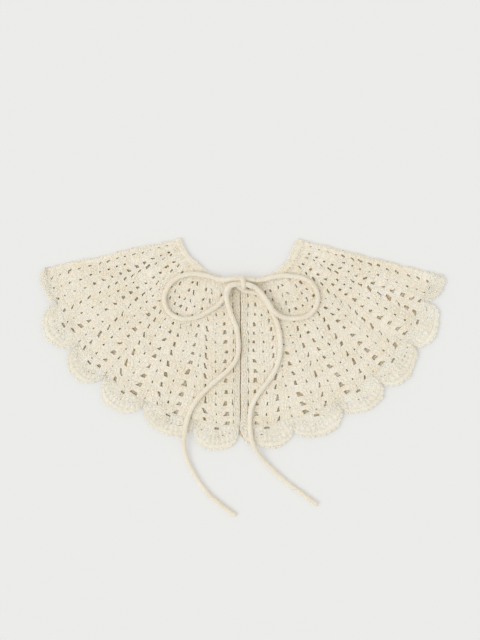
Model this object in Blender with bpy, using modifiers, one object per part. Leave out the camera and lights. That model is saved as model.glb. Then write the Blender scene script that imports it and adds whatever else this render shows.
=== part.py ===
"""A crocheted cotton lace collar, laid flat on its back with the two fronts up.

The body is a ring of lace around the neck, worked in fans that widen towards the hem, with lines of
holes along each fan. It is folded at both shoulders, so the back lies under the fronts. A scalloped
edging runs along the hem, a plain band down each front edge, and a round cord is tied in a bow at the
neck. World frame: +Z up from the surface it lies on, -Y towards the hem at the centre front.
Angles are measured about the neck's centre, from straight down (-Y), and grow towards +X.
"""

import math
from collections import namedtuple

import bmesh
import bpy
import numpy as np
from mathutils import Matrix, Vector

MM = 0.001

# Where the centre of the neck's curve lies, measured from the middle of the laid-out collar.
NECK_CENTRE = Vector((-4.6 * MM, 142.4 * MM))

# Layers, from the surface up.
GAP = 0.3 * MM
WALL = 2.4 * MM
MOST_RELIEF = 0.9 * MM
BACK_TOP = WALL
FRONT_UNDER = BACK_TOP + GAP
FRONT_TOP = FRONT_UNDER + WALL + MOST_RELIEF

# Relief of the crochet on the outside, as shares of MOST_RELIEF.
NECK_RIDGE = 0.7
FAN_RIDGE = 1.0
PLAIN_COLUMN = 0.0
SHELL_RIDGE = 0.8
SHELL_RIM = 0.45

# One row for each fan of a front, from the front edge to the shoulder. The angles say where its middle
# lies at the neck and at the hem. The scallop under it ends at its notch, and a lean above 0 moves its
# fullest part towards the shoulder.
Fan = namedtuple("Fan", "neck_deg hem_deg hem_mm tip_mm lean notch_deg notch_mm")
LEFT_FANS = (
    Fan(24.0, 6.5, 240.0, 272.0, 0.0, 12.6, 247.0),
    Fan(36.0, 21.4, 238.5, 266.5, 0.0, 27.9, 243.0),
    Fan(46.0, 35.2, 239.0, 268.0, 0.03, 41.4, 244.0),
    Fan(55.5, 48.0, 239.0, 270.0, 0.05, 53.6, 243.5),
    Fan(64.5, 60.6, 237.0, 267.5, 0.05, 67.2, 239.5),
    Fan(71.5, 71.4, 235.0, 249.0, 0.08, None, 240.5),
)
RIGHT_FANS = (
    Fan(22.5, 8.4, 240.0, 270.5, 0.0, 15.0, 252.0),
    Fan(32.0, 22.9, 240.5, 272.5, 0.07, 29.3, 251.5),
    Fan(42.5, 36.4, 240.5, 272.5, 0.10, 42.3, 254.0),
    Fan(53.0, 49.3, 240.5, 274.5, -0.05, 55.4, 255.0),
    Fan(62.5, 60.4, 239.5, 272.0, 0.05, 68.2, 245.5),
    Fan(71.0, 70.4, 238.0, 257.0, 0.04, None, 254.0),
)

# The neck's curve on each side: its radius at an angle.
NeckPoint = namedtuple("NeckPoint", "deg radius_mm")
LEFT_NECK = (
    NeckPoint(0.0, 64.0),
    NeckPoint(15.0, 65.5),
    NeckPoint(34.0, 66.3),
    NeckPoint(54.0, 67.5),
    NeckPoint(72.0, 70.0),
    NeckPoint(80.0, 71.8),
)
RIGHT_NECK = (
    NeckPoint(0.0, 64.0),
    NeckPoint(18.0, 66.0),
    NeckPoint(39.0, 69.5),
    NeckPoint(53.0, 71.0),
    NeckPoint(69.0, 70.5),
    NeckPoint(80.0, 71.8),
)

# Each side of the collar: -1 is towards -X. The fold is the straight outer edge at the shoulder, from
# the neck's corner to the hem; the two edges bound the front band, across the opening.
Side = namedtuple("Side", "name sign fans neck fold_neck_mm fold_hem_mm opening_mm band_mm start_notch_mm")
LEFT = Side("left", -1, LEFT_FANS, LEFT_NECK, (-70.2, -14.4), (-235.0, -51.0), 1.8, 7.2, 245.5)
RIGHT = Side("right", 1, RIGHT_FANS, RIGHT_NECK, (70.2, -14.4), (247.0, -60.2), 3.0, 7.8, 246.5)

# The rows of holes, from the neck (0) to the hem (1). The holes of the outer rows are wide enough to
# be cut through; the others are too small.
HOLE_ROWS = (0.475, 0.539, 0.610, 0.681, 0.752, 0.833, 0.911, 0.972)
BACK_HOLE_ROWS = (0.752, 0.833, 0.911, 0.972)
PLAIN_ROWS = (0.0, 0.045, 0.17, 0.29, 0.40)
BACK_PLAIN_ROWS = (0.0, 0.2, 0.4, 0.58)
HOLE_SHARE = 0.52
LAST_HOLE_REACH = 0.9
RAISED_NECK_ROWS = 2
HOLE_HALF_AT_NECK = 1.0 * MM
HOLE_HALF_AT_HEM = 2.5 * MM

# Radii close to the neck and to the hem, where a column is measured to find its two ends.
NEAR_NECK = 68.0 * MM
NEAR_HEM = 239.0 * MM

# Half the distance between a fan's two lines of holes: it grows slowly outwards, and near the neck
# the fans stand too close for it.
FAN_HALF = 11.2 * MM
FAN_HALF_FROM = 113.0 * MM
FAN_HALF_GROWTH = 0.02
FAN_PITCH_SHARE = 0.36
BACK_FAN_SLANT = 0.96

# The shoulder fold: a half round whose inner side leaves the gap between the layers, then a short lip.
FOLD_INNER = GAP / 2
FOLD_OUTER = FOLD_INNER + WALL
FOLD_MIDDLE = BACK_TOP + FOLD_INNER
FOLD_STEPS = 4
FOLD_LIP = 1.2 * MM
BACK_EDGE_INSET = FOLD_OUTER + FOLD_LIP + GAP

# The back lies a little inside the fronts' outline.
BACK_INSET = 2.0 * MM
CENTRE_BACK_NOTCH = 247.0 * MM

# The edging: points along a scallop, and its rows from the hem (0) to the rim (1).
SCALLOP_STEPS = 10
BACK_SCALLOP_STEPS = 8
EDGING_ROWS = (0.0, 0.6, 1.0)
BACK_EDGING_ROWS = (0.0, 1.0)
SCALLOP_ROUNDNESS = 0.85

BAND_HEIGHT = 3.2 * MM
BAND_ROUND = 1.2 * MM
BAND_ROUND_STEPS = 3
BAND_TOP_Y = -63.0 * MM

# The tie: a round cord, resting on the lace or on the surface.
CORD_RADIUS = 3.0 * MM
CORD_ON_LACE = FRONT_TOP + GAP + CORD_RADIUS
CORD_ON_CORD = CORD_ON_LACE + 2 * CORD_RADIUS + GAP
CORD_CLEARANCE = 0.05 * MM
CORD_ON_SURFACE = CORD_RADIUS + CORD_CLEARANCE
CORD_STEP = 14.0 * MM
CORD_BEVEL_STEPS = 2
CURVE_STEPS = 12

# The knot: a rounded lump, and the turn of cord that is wrapped across it.
KNOT_HALF = Vector((12.0 * MM, 7.6 * MM, 5.6 * MM))
KNOT_CENTRE = Vector((-2.4 * MM, -67.8 * MM, FRONT_TOP + GAP + KNOT_HALF.z))
KNOT_SEGMENTS = 20
KNOT_RINGS = 10
KNOT_WRAP_RADIUS = 1.7 * MM
KNOT_WRAP_SINK = 1.0 * MM
KNOT_WRAP_TILT_DEG = -18.0
KNOT_WRAP_SEGMENTS = 18
KNOT_WRAP_SIDES = 8

# Each cord's route: points in mm from the neck's centre, with the height of the cord's middle.
LACE, OVER, FLOOR = (1000 * z for z in (CORD_ON_LACE, CORD_ON_CORD, CORD_ON_SURFACE))
ROUTES = {
    "bow_loop_left": (
        (-15.8, -66.4, 11.6),
        (-27.0, -63.0, LACE),
        (-40.2, -59.3, LACE),
        (-54.6, -57.6, LACE),
        (-69.0, -60.6, LACE),
        (-80.4, -68.4, LACE),
        (-87.6, -80.4, LACE),
        (-88.2, -92.4, LACE),
        (-82.8, -103.8, LACE),
        (-71.4, -110.4, LACE),
        (-58.2, -111.0, LACE),
        (-46.2, -108.0, LACE),
        (-35.4, -102.0, LACE),
        (-25.8, -96.0, LACE),
        (-18.6, -88.8, LACE),
        (-13.6, -81.2, LACE),
        (-10.2, -74.6, LACE),
    ),
    "bow_loop_right": (
        (11.6, -70.6, 15.0),
        (19.8, -74.4, OVER),
        (27.6, -81.6, OVER),
        (34.8, -91.2, OVER),
        (41.4, -101.4, OVER),
        (48.6, -107.4, 13.0),
        (58.2, -110.4, LACE),
        (70.2, -110.8, LACE),
        (82.2, -107.8, LACE),
        (90.6, -100.2, LACE),
        (94.4, -90.0, LACE),
        (93.4, -78.6, LACE),
        (87.2, -69.0, LACE),
        (77.4, -63.2, LACE),
        (65.4, -60.6, LACE),
        (53.4, -60.0, LACE),
        (41.4, -61.6, LACE),
        (30.6, -64.4, LACE),
        (20.4, -65.6, LACE),
        (12.0, -64.4, LACE + 0.6),
    ),
    "tie_tail_left": (
        (-12.6, -75.2, 15.2),
        (-14.4, -83.4, OVER + 0.8),
        (-13.4, -92.0, OVER + 0.2),
        (-10.2, -102.0, 12.4),
        (-6.0, -112.8, LACE),
        (-1.8, -124.8, LACE),
        (-0.2, -139.2, LACE),
        (-0.6, -152.4, LACE),
        (-4.8, -163.2, LACE),
        (-13.8, -174.0, LACE),
        (-25.8, -184.2, LACE),
        (-37.8, -195.0, LACE),
        (-49.2, -207.6, LACE),
        (-57.6, -221.4, LACE),
        (-62.4, -236.4, LACE),
        (-64.4, -250.0, LACE - 0.1),
        (-65.2, -261.6, 8.4),
        (-63.2, -274.0, 5.4),
        (-59.2, -285.0, 3.5),
        (-52.2, -298.2, FLOOR),
        (-43.8, -311.4, FLOOR),
        (-34.2, -322.8, FLOOR),
        (-22.8, -332.4, FLOOR),
        (-12.0, -340.8, FLOOR),
        (-3.0, -347.4, FLOOR),
    ),
    "tie_tail_right": (
        (6.4, -77.6, LACE),
        (14.0, -78.8, LACE),
        (20.8, -80.2, LACE),
        (27.4, -84.4, LACE),
        (34.2, -93.2, LACE),
        (40.2, -103.2, LACE),
        (44.8, -113.4, LACE),
        (48.2, -124.8, LACE),
        (50.0, -138.0, LACE),
        (49.8, -151.2, LACE),
        (46.8, -164.4, LACE),
        (40.8, -177.6, LACE),
        (31.8, -190.2, LACE),
        (22.8, -202.2, LACE),
        (16.2, -214.8, LACE),
        (13.6, -228.0, LACE),
        (13.6, -242.4, LACE),
        (16.2, -257.4, LACE),
        (21.0, -268.8, 8.6),
        (29.0, -279.8, 5.4),
        (38.2, -289.2, FLOOR + 0.3),
        (48.6, -299.0, FLOOR),
        (60.0, -309.0, FLOOR),
        (72.0, -317.6, FLOOR),
        (84.0, -326.4, FLOOR),
        (95.2, -334.6, FLOOR),
    ),
}

COTTON = (0.86, 0.80, 0.67)
BAND_COTTON = (0.88, 0.82, 0.69)
CORD_COTTON = (0.90, 0.85, 0.73)


def clear_scene():
    for obj in list(bpy.data.objects):
        bpy.data.objects.remove(obj, do_unlink=True)


def cotton(name, colour):
    material = bpy.data.materials.new(name)
    material.use_nodes = True
    shader = material.node_tree.nodes["Principled BSDF"]
    shader.inputs["Base Color"].default_value = (*colour, 1.0)
    shader.inputs["Roughness"].default_value = 0.9
    shader.inputs["Metallic"].default_value = 0.0
    material.diffuse_color = (*colour, 1.0)
    return material


def polar(radius, degrees):
    """The point at this distance from the neck's centre, at this angle from straight down."""
    angle = math.radians(degrees)
    return Vector((radius * math.sin(angle), -radius * math.cos(angle)))


def degrees_of(point):
    return math.degrees(math.atan2(point.x, -point.y))


# A straight line in the plane of the collar: its nearest point to the neck's centre, and its direction
# outwards. Fronts, folds, and the middles of the fans are all such lines.
Line = namedtuple("Line", "foot direction")


def line_through(inner, outer):
    direction = (outer - inner).normalized()
    return Line(inner - direction * inner.dot(direction), direction)


def at_radius(line, radius):
    run = math.sqrt(max(radius**2 - line.foot.length_squared, 0.0))
    return line.foot + line.direction * run


def moved_across(line, distance):
    """The parallel line, moved to the left of its direction."""
    left = Vector((-line.direction.y, line.direction.x))
    return line_through(line.foot + left * distance, line.foot + left * distance + line.direction)


def turned(point, arc):
    """The point moved along its circle about the neck's centre, towards larger angles."""
    angle = arc / point.length
    return Matrix.Rotation(angle, 2) @ point


def neck_radius(side, degrees):
    angles = [row.deg for row in side.neck]
    radii = [row.radius_mm for row in side.neck]
    return np.interp(abs(degrees), angles, radii) * MM


def hem_radius(side, degrees):
    angles = [fan.hem_deg for fan in side.fans]
    radii = [fan.hem_mm for fan in side.fans]
    return np.interp(abs(degrees), angles, radii) * MM


def fold_line(side, inset):
    """The shoulder's outer edge, moved into the cloth."""
    edge = line_through(Vector(side.fold_neck_mm) * MM, Vector(side.fold_hem_mm) * MM)
    return moved_across(edge, -side.sign * inset)


def opening_line(x):
    """A line straight down, beside the front opening."""
    return Line(Vector((x, 0.0)), Vector((0.0, -1.0)))


def fan_middle(side, fan, radial):
    """The line along the middle of a fan. The back's fans are nearly radial."""
    neck_deg = fan.hem_deg * BACK_FAN_SLANT if radial else fan.neck_deg
    inner = polar(neck_radius(side, neck_deg), side.sign * neck_deg)
    return line_through(inner, polar(fan.hem_mm * MM, side.sign * fan.hem_deg))


def fan_pitch(middles, index, radius):
    """How far apart the fans' middles stand here: the distance to the nearest neighbour."""
    here = at_radius(middles[index], radius)
    others = [i for i in (index - 1, index + 1) if 0 <= i < len(middles)]
    return min((at_radius(middles[i], radius) - here).length for i in others)


def fan_half(middles, index, radius):
    full = FAN_HALF + FAN_HALF_GROWTH * (radius - FAN_HALF_FROM)
    return min(full, FAN_PITCH_SHARE * fan_pitch(middles, index, radius))


# A column line of a lace panel: the middle that it follows, how many fan halves and hole halves it
# stands from it, its relief, and whether the column after it is a line of holes.
Column = namedtuple("Column", "side line fan halves holes ridge opens")


def fan_columns(side, index, line, with_ridge):
    """The column lines of one fan, from angle to larger angle: hole line, fan, hole line."""
    columns = [
        Column(side, line, index, -1, -1, PLAIN_COLUMN, True),
        Column(side, line, index, -1, 1, PLAIN_COLUMN, False),
    ]
    if with_ridge:
        columns.append(Column(side, line, index, 0, 0, FAN_RIDGE, False))
    columns += [
        Column(side, line, index, 1, -1, PLAIN_COLUMN, True),
        Column(side, line, index, 1, 1, PLAIN_COLUMN, False),
    ]
    return columns


def edge_column(side, line):
    return Column(side, line, None, 0, 0, PLAIN_COLUMN, False)


def across(column, middles, share, point):
    """The point moved sideways by the column's distance from its middle line."""
    if column.fan is None:
        return point
    half = fan_half(middles, column.fan, point.length)
    hole = HOLE_HALF_AT_NECK + share * (HOLE_HALF_AT_HEM - HOLE_HALF_AT_NECK)
    return turned(point, column.halves * half + column.holes * hole)


def column_point(column, middles, share, inset):
    """Where a column line crosses a row: share 0 is the neck, 1 is the hem."""
    by_neck = across(column, middles, 0.0, at_radius(column.line, NEAR_NECK))
    by_hem = across(column, middles, 1.0, at_radius(column.line, NEAR_HEM))
    neck = neck_radius(column.side, degrees_of(by_neck)) + inset
    hem = hem_radius(column.side, degrees_of(by_hem)) - GAP / 2
    radius = neck + share * (hem - neck)
    return across(column, middles, share, at_radius(column.line, radius))


def row_shares(plain, holes):
    """The row lines of a panel, and which of the bands between them hold holes."""
    shares = list(plain)
    cut = []
    for i, middle in enumerate(holes):
        pitch = holes[i] - holes[i - 1] if i else holes[1] - holes[0]
        half = min(HOLE_SHARE * pitch / 2, LAST_HOLE_REACH * (1.0 - middle))
        cut.append(len(shares))
        shares += [middle - half, middle + half]
    return shares + [1.0], cut


def grid_place(coordinate, count):
    """Which of the grid's lines, or halfway between which two, lies at this place from -1 to 1."""
    return (coordinate + 1) / 2 * (count - 1)


def grid_mesh(name, points, relief, cut_faces, thickness):
    """A sheet over a grid of points, facing up, with its holes cut and a thickness weight at each point."""
    rows, columns = len(points), len(points[0])
    grid = bmesh.new()
    bmesh.ops.create_grid(grid, x_segments=columns - 1, y_segments=rows - 1, size=1.0)
    weights = grid.verts.layers.deform.verify()
    doomed = []
    for face in grid.faces:
        middle = face.calc_center_median()
        cell = (int(grid_place(middle.y, rows)), int(grid_place(middle.x, columns)))
        if cell in cut_faces:
            doomed.append(face)
    for vertex in grid.verts:
        row = round(grid_place(vertex.co.y, rows))
        column = round(grid_place(vertex.co.x, columns))
        vertex[weights][0] = (WALL + MOST_RELIEF * relief[row][column]) / thickness
        vertex.co = points[row][column]
    bmesh.ops.delete(grid, geom=doomed, context="FACES")
    largest = max(grid.faces, key=lambda face: face.calc_area())
    largest.normal_update()
    if largest.normal.z < 0:
        bmesh.ops.reverse_faces(grid, faces=grid.faces[:])
    mesh = bpy.data.meshes.new(name)
    grid.to_mesh(mesh)
    grid.free()
    return mesh


def cloth_wall(name, points, relief, cut_faces, material, parts):
    """A sheet given its wall: the inside stays plain, and the outside carries the relief."""
    thickness = WALL + MOST_RELIEF
    mesh = grid_mesh(name, points, relief, cut_faces, thickness)
    wall = bpy.data.objects.new(name, mesh)
    wall.vertex_groups.new(name="thickness")
    wall.data.materials.append(material)
    parts.objects.link(wall)
    solidify = wall.modifiers.new("wall", "SOLIDIFY")
    solidify.thickness = thickness
    solidify.offset = 1.0
    solidify.vertex_group = "thickness"
    solidify.thickness_vertex_group = 0.0
    return wall


def on_world(point, height):
    return Vector((NECK_CENTRE.x + point.x, NECK_CENTRE.y + point.y, height))


def folded_under(point, side, line):
    """The points that carry a row on from the fold's axis, round the half circle and on to the lip."""
    outwards = Vector((-line.direction.y, line.direction.x)) * side.sign
    found = []
    for step in range(1, FOLD_STEPS + 1):
        angle = math.pi * step / FOLD_STEPS
        out = point + outwards * (FOLD_INNER * math.sin(angle))
        found.append(on_world(out, FOLD_MIDDLE + FOLD_INNER * math.cos(angle)))
    found.append(on_world(point - outwards * FOLD_LIP, FOLD_MIDDLE - FOLD_INNER))
    return found


def front_panel(side, material, parts):
    """One front: from its band to the shoulder, and round the fold."""
    middles = [fan_middle(side, fan, False) for fan in side.fans]
    edge = opening_line(side.opening_mm * MM + side.sign * (side.band_mm * MM + GAP))
    fold = fold_line(side, FOLD_OUTER)
    columns = [edge_column(side, edge)]
    for index, middle in enumerate(middles):
        fan = fan_columns(side, index, middle, True)
        if side.sign < 0:
            fan = mirrored_columns(fan)
        columns += fan
    columns.append(edge_column(side, fold))
    shares, cut_bands = row_shares(PLAIN_ROWS, HOLE_ROWS)
    points, relief = [], []
    for row, share in enumerate(shares):
        flat = [column_point(column, middles, share, 0.0) for column in columns]
        least = NECK_RIDGE if row < RAISED_NECK_ROWS else PLAIN_COLUMN
        raised = [max(least, column.ridge) for column in columns]
        points.append([on_world(p, FRONT_UNDER) for p in flat] + folded_under(flat[-1], side, fold))
        relief.append(raised[:-1] + [0.0] * (FOLD_STEPS + 2))
    open_columns = [i for i, column in enumerate(columns) if column.opens]
    cut_faces = {(band, column) for band in cut_bands for column in open_columns}
    cloth_wall(f"{side.name}_front", points, relief, cut_faces, material, parts)


def mirrored_columns(columns):
    """The same column lines for a side that is worked towards smaller angles."""
    return [column._replace(halves=-column.halves, holes=-column.holes) for column in columns]


def back_panel(material, parts):
    """The back: all the way across under both fronts, with radial fans."""
    lines = []
    for side in (LEFT, RIGHT):
        fans = [(side, fan_middle(side, fan, True)) for fan in side.fans]
        lines += fans[::-1] if side.sign < 0 else fans
    middles = [line for _, line in lines]
    columns = [edge_column(LEFT, fold_line(LEFT, BACK_EDGE_INSET))]
    for index, (side, middle) in enumerate(lines):
        columns += fan_columns(side, index, middle, False)
    columns.append(edge_column(RIGHT, fold_line(RIGHT, BACK_EDGE_INSET)))
    shares, cut_bands = row_shares(BACK_PLAIN_ROWS, BACK_HOLE_ROWS)
    points = [
        [on_world(column_point(column, middles, share, BACK_INSET), 0.0) for column in columns]
        for share in shares
    ]
    relief = [[0.0] * len(columns) for _ in shares]
    open_columns = [i for i, column in enumerate(columns) if column.opens]
    cut_faces = {(band, column) for band in cut_bands for column in open_columns}
    cloth_wall("back", points, relief, cut_faces, material, parts)


def scallop(from_deg, from_radius, to_deg, to_radius, tip_radius, lean, steps):
    """(angle, radius) along one scallop, from notch to notch, its last point left to the next one."""
    found = []
    for step in range(steps):
        around = math.pi * step / steps
        share = (1 - math.cos(around)) / 2
        base = from_radius + share * (to_radius - from_radius)
        rise = tip_radius - (from_radius + to_radius) / 2
        angle = from_deg + share * (to_deg - from_deg)
        height = math.sin(around) ** SCALLOP_ROUNDNESS - lean * math.sin(2 * around)
        found.append((angle, base + rise * height))
    return found


def side_outline(side, steps, inset, from_deg, last_deg, last_radius):
    """(angle, radius) along one side's scallops, from the front opening to the shoulder."""
    from_radius = side.start_notch_mm * MM - inset
    found = []
    for fan in side.fans:
        ends = fan.notch_deg is None
        to_deg = last_deg if ends else fan.notch_deg
        to_radius = last_radius if ends else fan.notch_mm * MM - inset
        tip = fan.tip_mm * MM - inset
        found += scallop(from_deg, from_radius, to_deg, to_radius, tip, fan.lean, steps)
        from_deg, from_radius = to_deg, to_radius
    return [(side.sign * angle, radius) for angle, radius in found + [(last_deg, last_radius)]]


def edging_points(side, outline, lines, rows):
    """The edging's grid in the plane: each column goes from the hem out to the scallops' outline."""
    grid = []
    for share in rows:
        row = []
        for (angle, rim), line in zip(outline, lines):
            hem = hem_radius(side, angle) + GAP / 2
            radius = hem + share * (rim - hem)
            row.append(at_radius(line, radius) if line else polar(radius, angle))
        grid.append(row)
    return grid


def edging_relief(rows, count, steps):
    """Shell stitches: ridges that run out over each scallop, and a low rim."""
    middle = [SHELL_RIDGE if column % 2 else 0.0 for column in range(count)]
    rim = [SHELL_RIM if column % steps else 0.0 for column in range(count)]
    return [[0.0] * count, middle, rim][: len(rows)]


def front_edging(side, material, parts):
    fold = fold_line(side, FOLD_OUTER)
    end = at_radius(fold, side.fans[-1].notch_mm * MM)
    opening = opening_line(side.opening_mm * MM)
    from_deg = side.sign * degrees_of(at_radius(opening, end.length))
    to_deg = abs(degrees_of(end))
    outline = side_outline(side, SCALLOP_STEPS, 0.0, from_deg, to_deg, end.length)
    lines = [opening] + [None] * (len(outline) - 2) + [fold]
    flat = edging_points(side, outline, lines, EDGING_ROWS)
    relief = edging_relief(EDGING_ROWS, len(outline), SCALLOP_STEPS)
    points = [
        [on_world(p, FRONT_UNDER) for p in row] + folded_under(row[-1], side, fold) for row in flat
    ]
    relief = [row[:-1] + [0.0] * (FOLD_STEPS + 2) for row in relief]
    cloth_wall(f"{side.name}_front_edging", points, relief, set(), material, parts)


def back_edging(material, parts):
    row_points = [[] for _ in BACK_EDGING_ROWS]
    for side in (LEFT, RIGHT):
        fold = fold_line(side, BACK_EDGE_INSET)
        end = at_radius(fold, side.fans[-1].notch_mm * MM - BACK_INSET)
        start = side._replace(start_notch_mm=(CENTRE_BACK_NOTCH + BACK_INSET) / MM)
        to_deg = abs(degrees_of(end))
        outline = side_outline(start, BACK_SCALLOP_STEPS, BACK_INSET, 0.0, to_deg, end.length)
        lines = [None] * (len(outline) - 1) + [fold]
        grid = edging_points(side, outline, lines, BACK_EDGING_ROWS)
        for row, points in zip(row_points, grid):
            row += points[::-1] if side.sign < 0 else points[1:]
    points = [[on_world(p, 0.0) for p in row] for row in row_points]
    relief = [[0.0] * len(row) for row in points]
    cloth_wall("back_edging", points, relief, set(), material, parts)


def front_band(side, material, parts):
    """The plain band down one front edge, with rounded long edges."""
    inner = side.opening_mm * MM
    outer = inner + side.sign * side.band_mm * MM
    bottom = -(side.fans[0].hem_mm * MM - GAP)
    size = Vector((abs(outer - inner), BAND_TOP_Y - bottom, BAND_HEIGHT))
    middle = Vector(((inner + outer) / 2, (BAND_TOP_Y + bottom) / 2))
    bpy.ops.mesh.primitive_cube_add(size=1.0)
    band = bpy.context.active_object
    band.name = f"{side.name}_front_band"
    band.data.name = band.name
    band.data.transform(Matrix.Diagonal((*size, 1.0)))
    band.location = on_world(middle, FRONT_UNDER + BAND_HEIGHT / 2)
    bevel = band.modifiers.new("rolled edges", "BEVEL")
    bevel.width = BAND_ROUND
    bevel.segments = BAND_ROUND_STEPS
    band.data.materials.append(material)
    move_to(parts, band)


def move_to(collection, obj):
    for old in list(obj.users_collection):
        old.objects.unlink(obj)
    collection.objects.link(obj)


def bow_knot(material, parts, cutters):
    """The knot: a rounded lump of cord with one turn wrapped across it."""
    centre = on_world(KNOT_CENTRE.xy, KNOT_CENTRE.z)
    bpy.ops.mesh.primitive_uv_sphere_add(
        segments=KNOT_SEGMENTS,
        ring_count=KNOT_RINGS,
        radius=1.0,
        location=centre,
    )
    knot = bpy.context.active_object
    knot.name = "bow_knot"
    knot.data.name = knot.name
    knot.data.transform(Matrix.Diagonal((*KNOT_HALF, 1.0)))
    bpy.ops.mesh.primitive_torus_add(
        major_segments=KNOT_WRAP_SEGMENTS,
        minor_segments=KNOT_WRAP_SIDES,
        major_radius=1.0,
        minor_radius=KNOT_WRAP_RADIUS / KNOT_HALF.z,
        location=centre,
    )
    wrap = bpy.context.active_object
    wrap.name = "knot_wrap"
    upright = Matrix.Rotation(math.radians(90), 4, "Y")
    tilted = Matrix.Rotation(math.radians(KNOT_WRAP_TILT_DEG), 4, "Z")
    reach = (KNOT_HALF.z, KNOT_HALF.y - KNOT_WRAP_SINK, KNOT_HALF.z - KNOT_WRAP_RADIUS, 1.0)
    wrap.data.transform(tilted @ Matrix.Diagonal(reach) @ upright)
    wrap.hide_render = True
    wrap.display_type = "WIRE"
    move_to(cutters, wrap)
    union = knot.modifiers.new("wrap", "BOOLEAN")
    union.operation = "UNION"
    union.solver = "EXACT"
    union.object = wrap
    knot.data.materials.append(material)
    move_to(parts, knot)
    knot.data.shade_smooth()


def smooth_route(points):
    """Points evenly spaced along a smooth curve through the route's points."""
    route = [Vector(p) * MM for p in points]
    padded = [2 * route[0] - route[1], *route, 2 * route[-1] - route[-2]]
    fine = []
    for a, b, c, d in zip(padded, padded[1:], padded[2:], padded[3:]):
        for step in range(CURVE_STEPS):
            t = step / CURVE_STEPS
            near = 2 * b + (c - a) * t + (2 * a - 5 * b + 4 * c - d) * t**2
            fine.append(0.5 * (near + (3 * b - a - 3 * c + d) * t**3))
    fine.append(route[-1])
    along = np.cumsum([0.0] + [(q - p).length for p, q in zip(fine, fine[1:])])
    count = max(2, round(along[-1] / CORD_STEP)) + 1
    targets = np.linspace(0.0, along[-1], count)
    coordinates = [np.interp(targets, along, [p[axis] for p in fine]) for axis in range(3)]
    return [Vector(p) for p in zip(*coordinates)]


def cord(name, points, material, parts):
    """One free stretch of the tie, as a round tube."""
    curve = bpy.data.curves.new(name, "CURVE")
    curve.dimensions = "3D"
    curve.bevel_depth = CORD_RADIUS
    curve.bevel_resolution = CORD_BEVEL_STEPS
    curve.use_fill_caps = True
    route = smooth_route(points)
    spline = curve.splines.new("POLY")
    spline.points.add(len(route) - 1)
    for point, place in zip(spline.points, route):
        point.co = (*on_world(place.xy, place.z), 1.0)
    curve.materials.append(material)
    parts.objects.link(bpy.data.objects.new(name, curve))


def build():
    clear_scene()
    parts = bpy.data.collections.new("lace_collar")
    cutters = bpy.data.collections.new("helpers")
    bpy.context.scene.collection.children.link(parts)
    bpy.context.scene.collection.children.link(cutters)
    cutters.hide_render = True
    lace = cotton("lace_cotton", COTTON)
    plain = cotton("band_cotton", BAND_COTTON)
    corded = cotton("cord_cotton", CORD_COTTON)
    back_panel(lace, parts)
    back_edging(lace, parts)
    for side in (LEFT, RIGHT):
        front_panel(side, lace, parts)
        front_edging(side, lace, parts)
        front_band(side, plain, parts)
    bow_knot(corded, parts, cutters)
    for name, points in ROUTES.items():
        cord(name, points, corded, parts)


build()
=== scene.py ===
"""The looks of a crocheted cotton lace collar, laid flat with its two fronts up.

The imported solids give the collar's form, and each piece here lies in one of them. The lace is a thin
cloth with its holes cut, and on it every stitch of the crochet: posts worked in rows from the neck to
the hem, with the loops of each row's top along them. The tie is a knitted round cord.

World frame: +Z up from the surface that the collar lies on, -Y towards the hem at the centre front.
Sizes are in millimetres, measured from the neck's centre, and angles from straight down (-Y), growing
towards +X. A mesh is turned to metres when it is made.
"""

import math
from collections import namedtuple
from functools import partial

import bpy
import numpy as np
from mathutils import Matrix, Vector


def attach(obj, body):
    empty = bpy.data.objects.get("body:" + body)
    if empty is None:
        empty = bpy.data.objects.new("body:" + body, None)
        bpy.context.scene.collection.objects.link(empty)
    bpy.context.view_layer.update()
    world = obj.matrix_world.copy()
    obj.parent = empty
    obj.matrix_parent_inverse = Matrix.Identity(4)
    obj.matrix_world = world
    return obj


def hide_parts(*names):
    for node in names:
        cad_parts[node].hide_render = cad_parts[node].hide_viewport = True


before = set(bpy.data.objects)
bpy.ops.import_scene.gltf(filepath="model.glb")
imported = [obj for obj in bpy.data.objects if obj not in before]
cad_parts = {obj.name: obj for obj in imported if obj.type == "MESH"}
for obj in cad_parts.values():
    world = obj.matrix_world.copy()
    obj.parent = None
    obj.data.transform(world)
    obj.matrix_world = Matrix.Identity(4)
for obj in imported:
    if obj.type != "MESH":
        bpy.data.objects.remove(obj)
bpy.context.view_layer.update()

MM = 0.001
BODY = "root"

# Where the centre of the neck's curve lies, measured from the middle of the laid-out collar.
NECK_CENTRE = np.array([-4.6, 142.4])

# Layers, from the surface up.
GAP = 0.3
WALL = 2.4
BACK_TOP = WALL
FRONT_UNDER = BACK_TOP + GAP
FRONT_TOP = 6.0
BACK_MIDDLE = WALL / 2
FRONT_MIDDLE = FRONT_UNDER + WALL / 2

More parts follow.
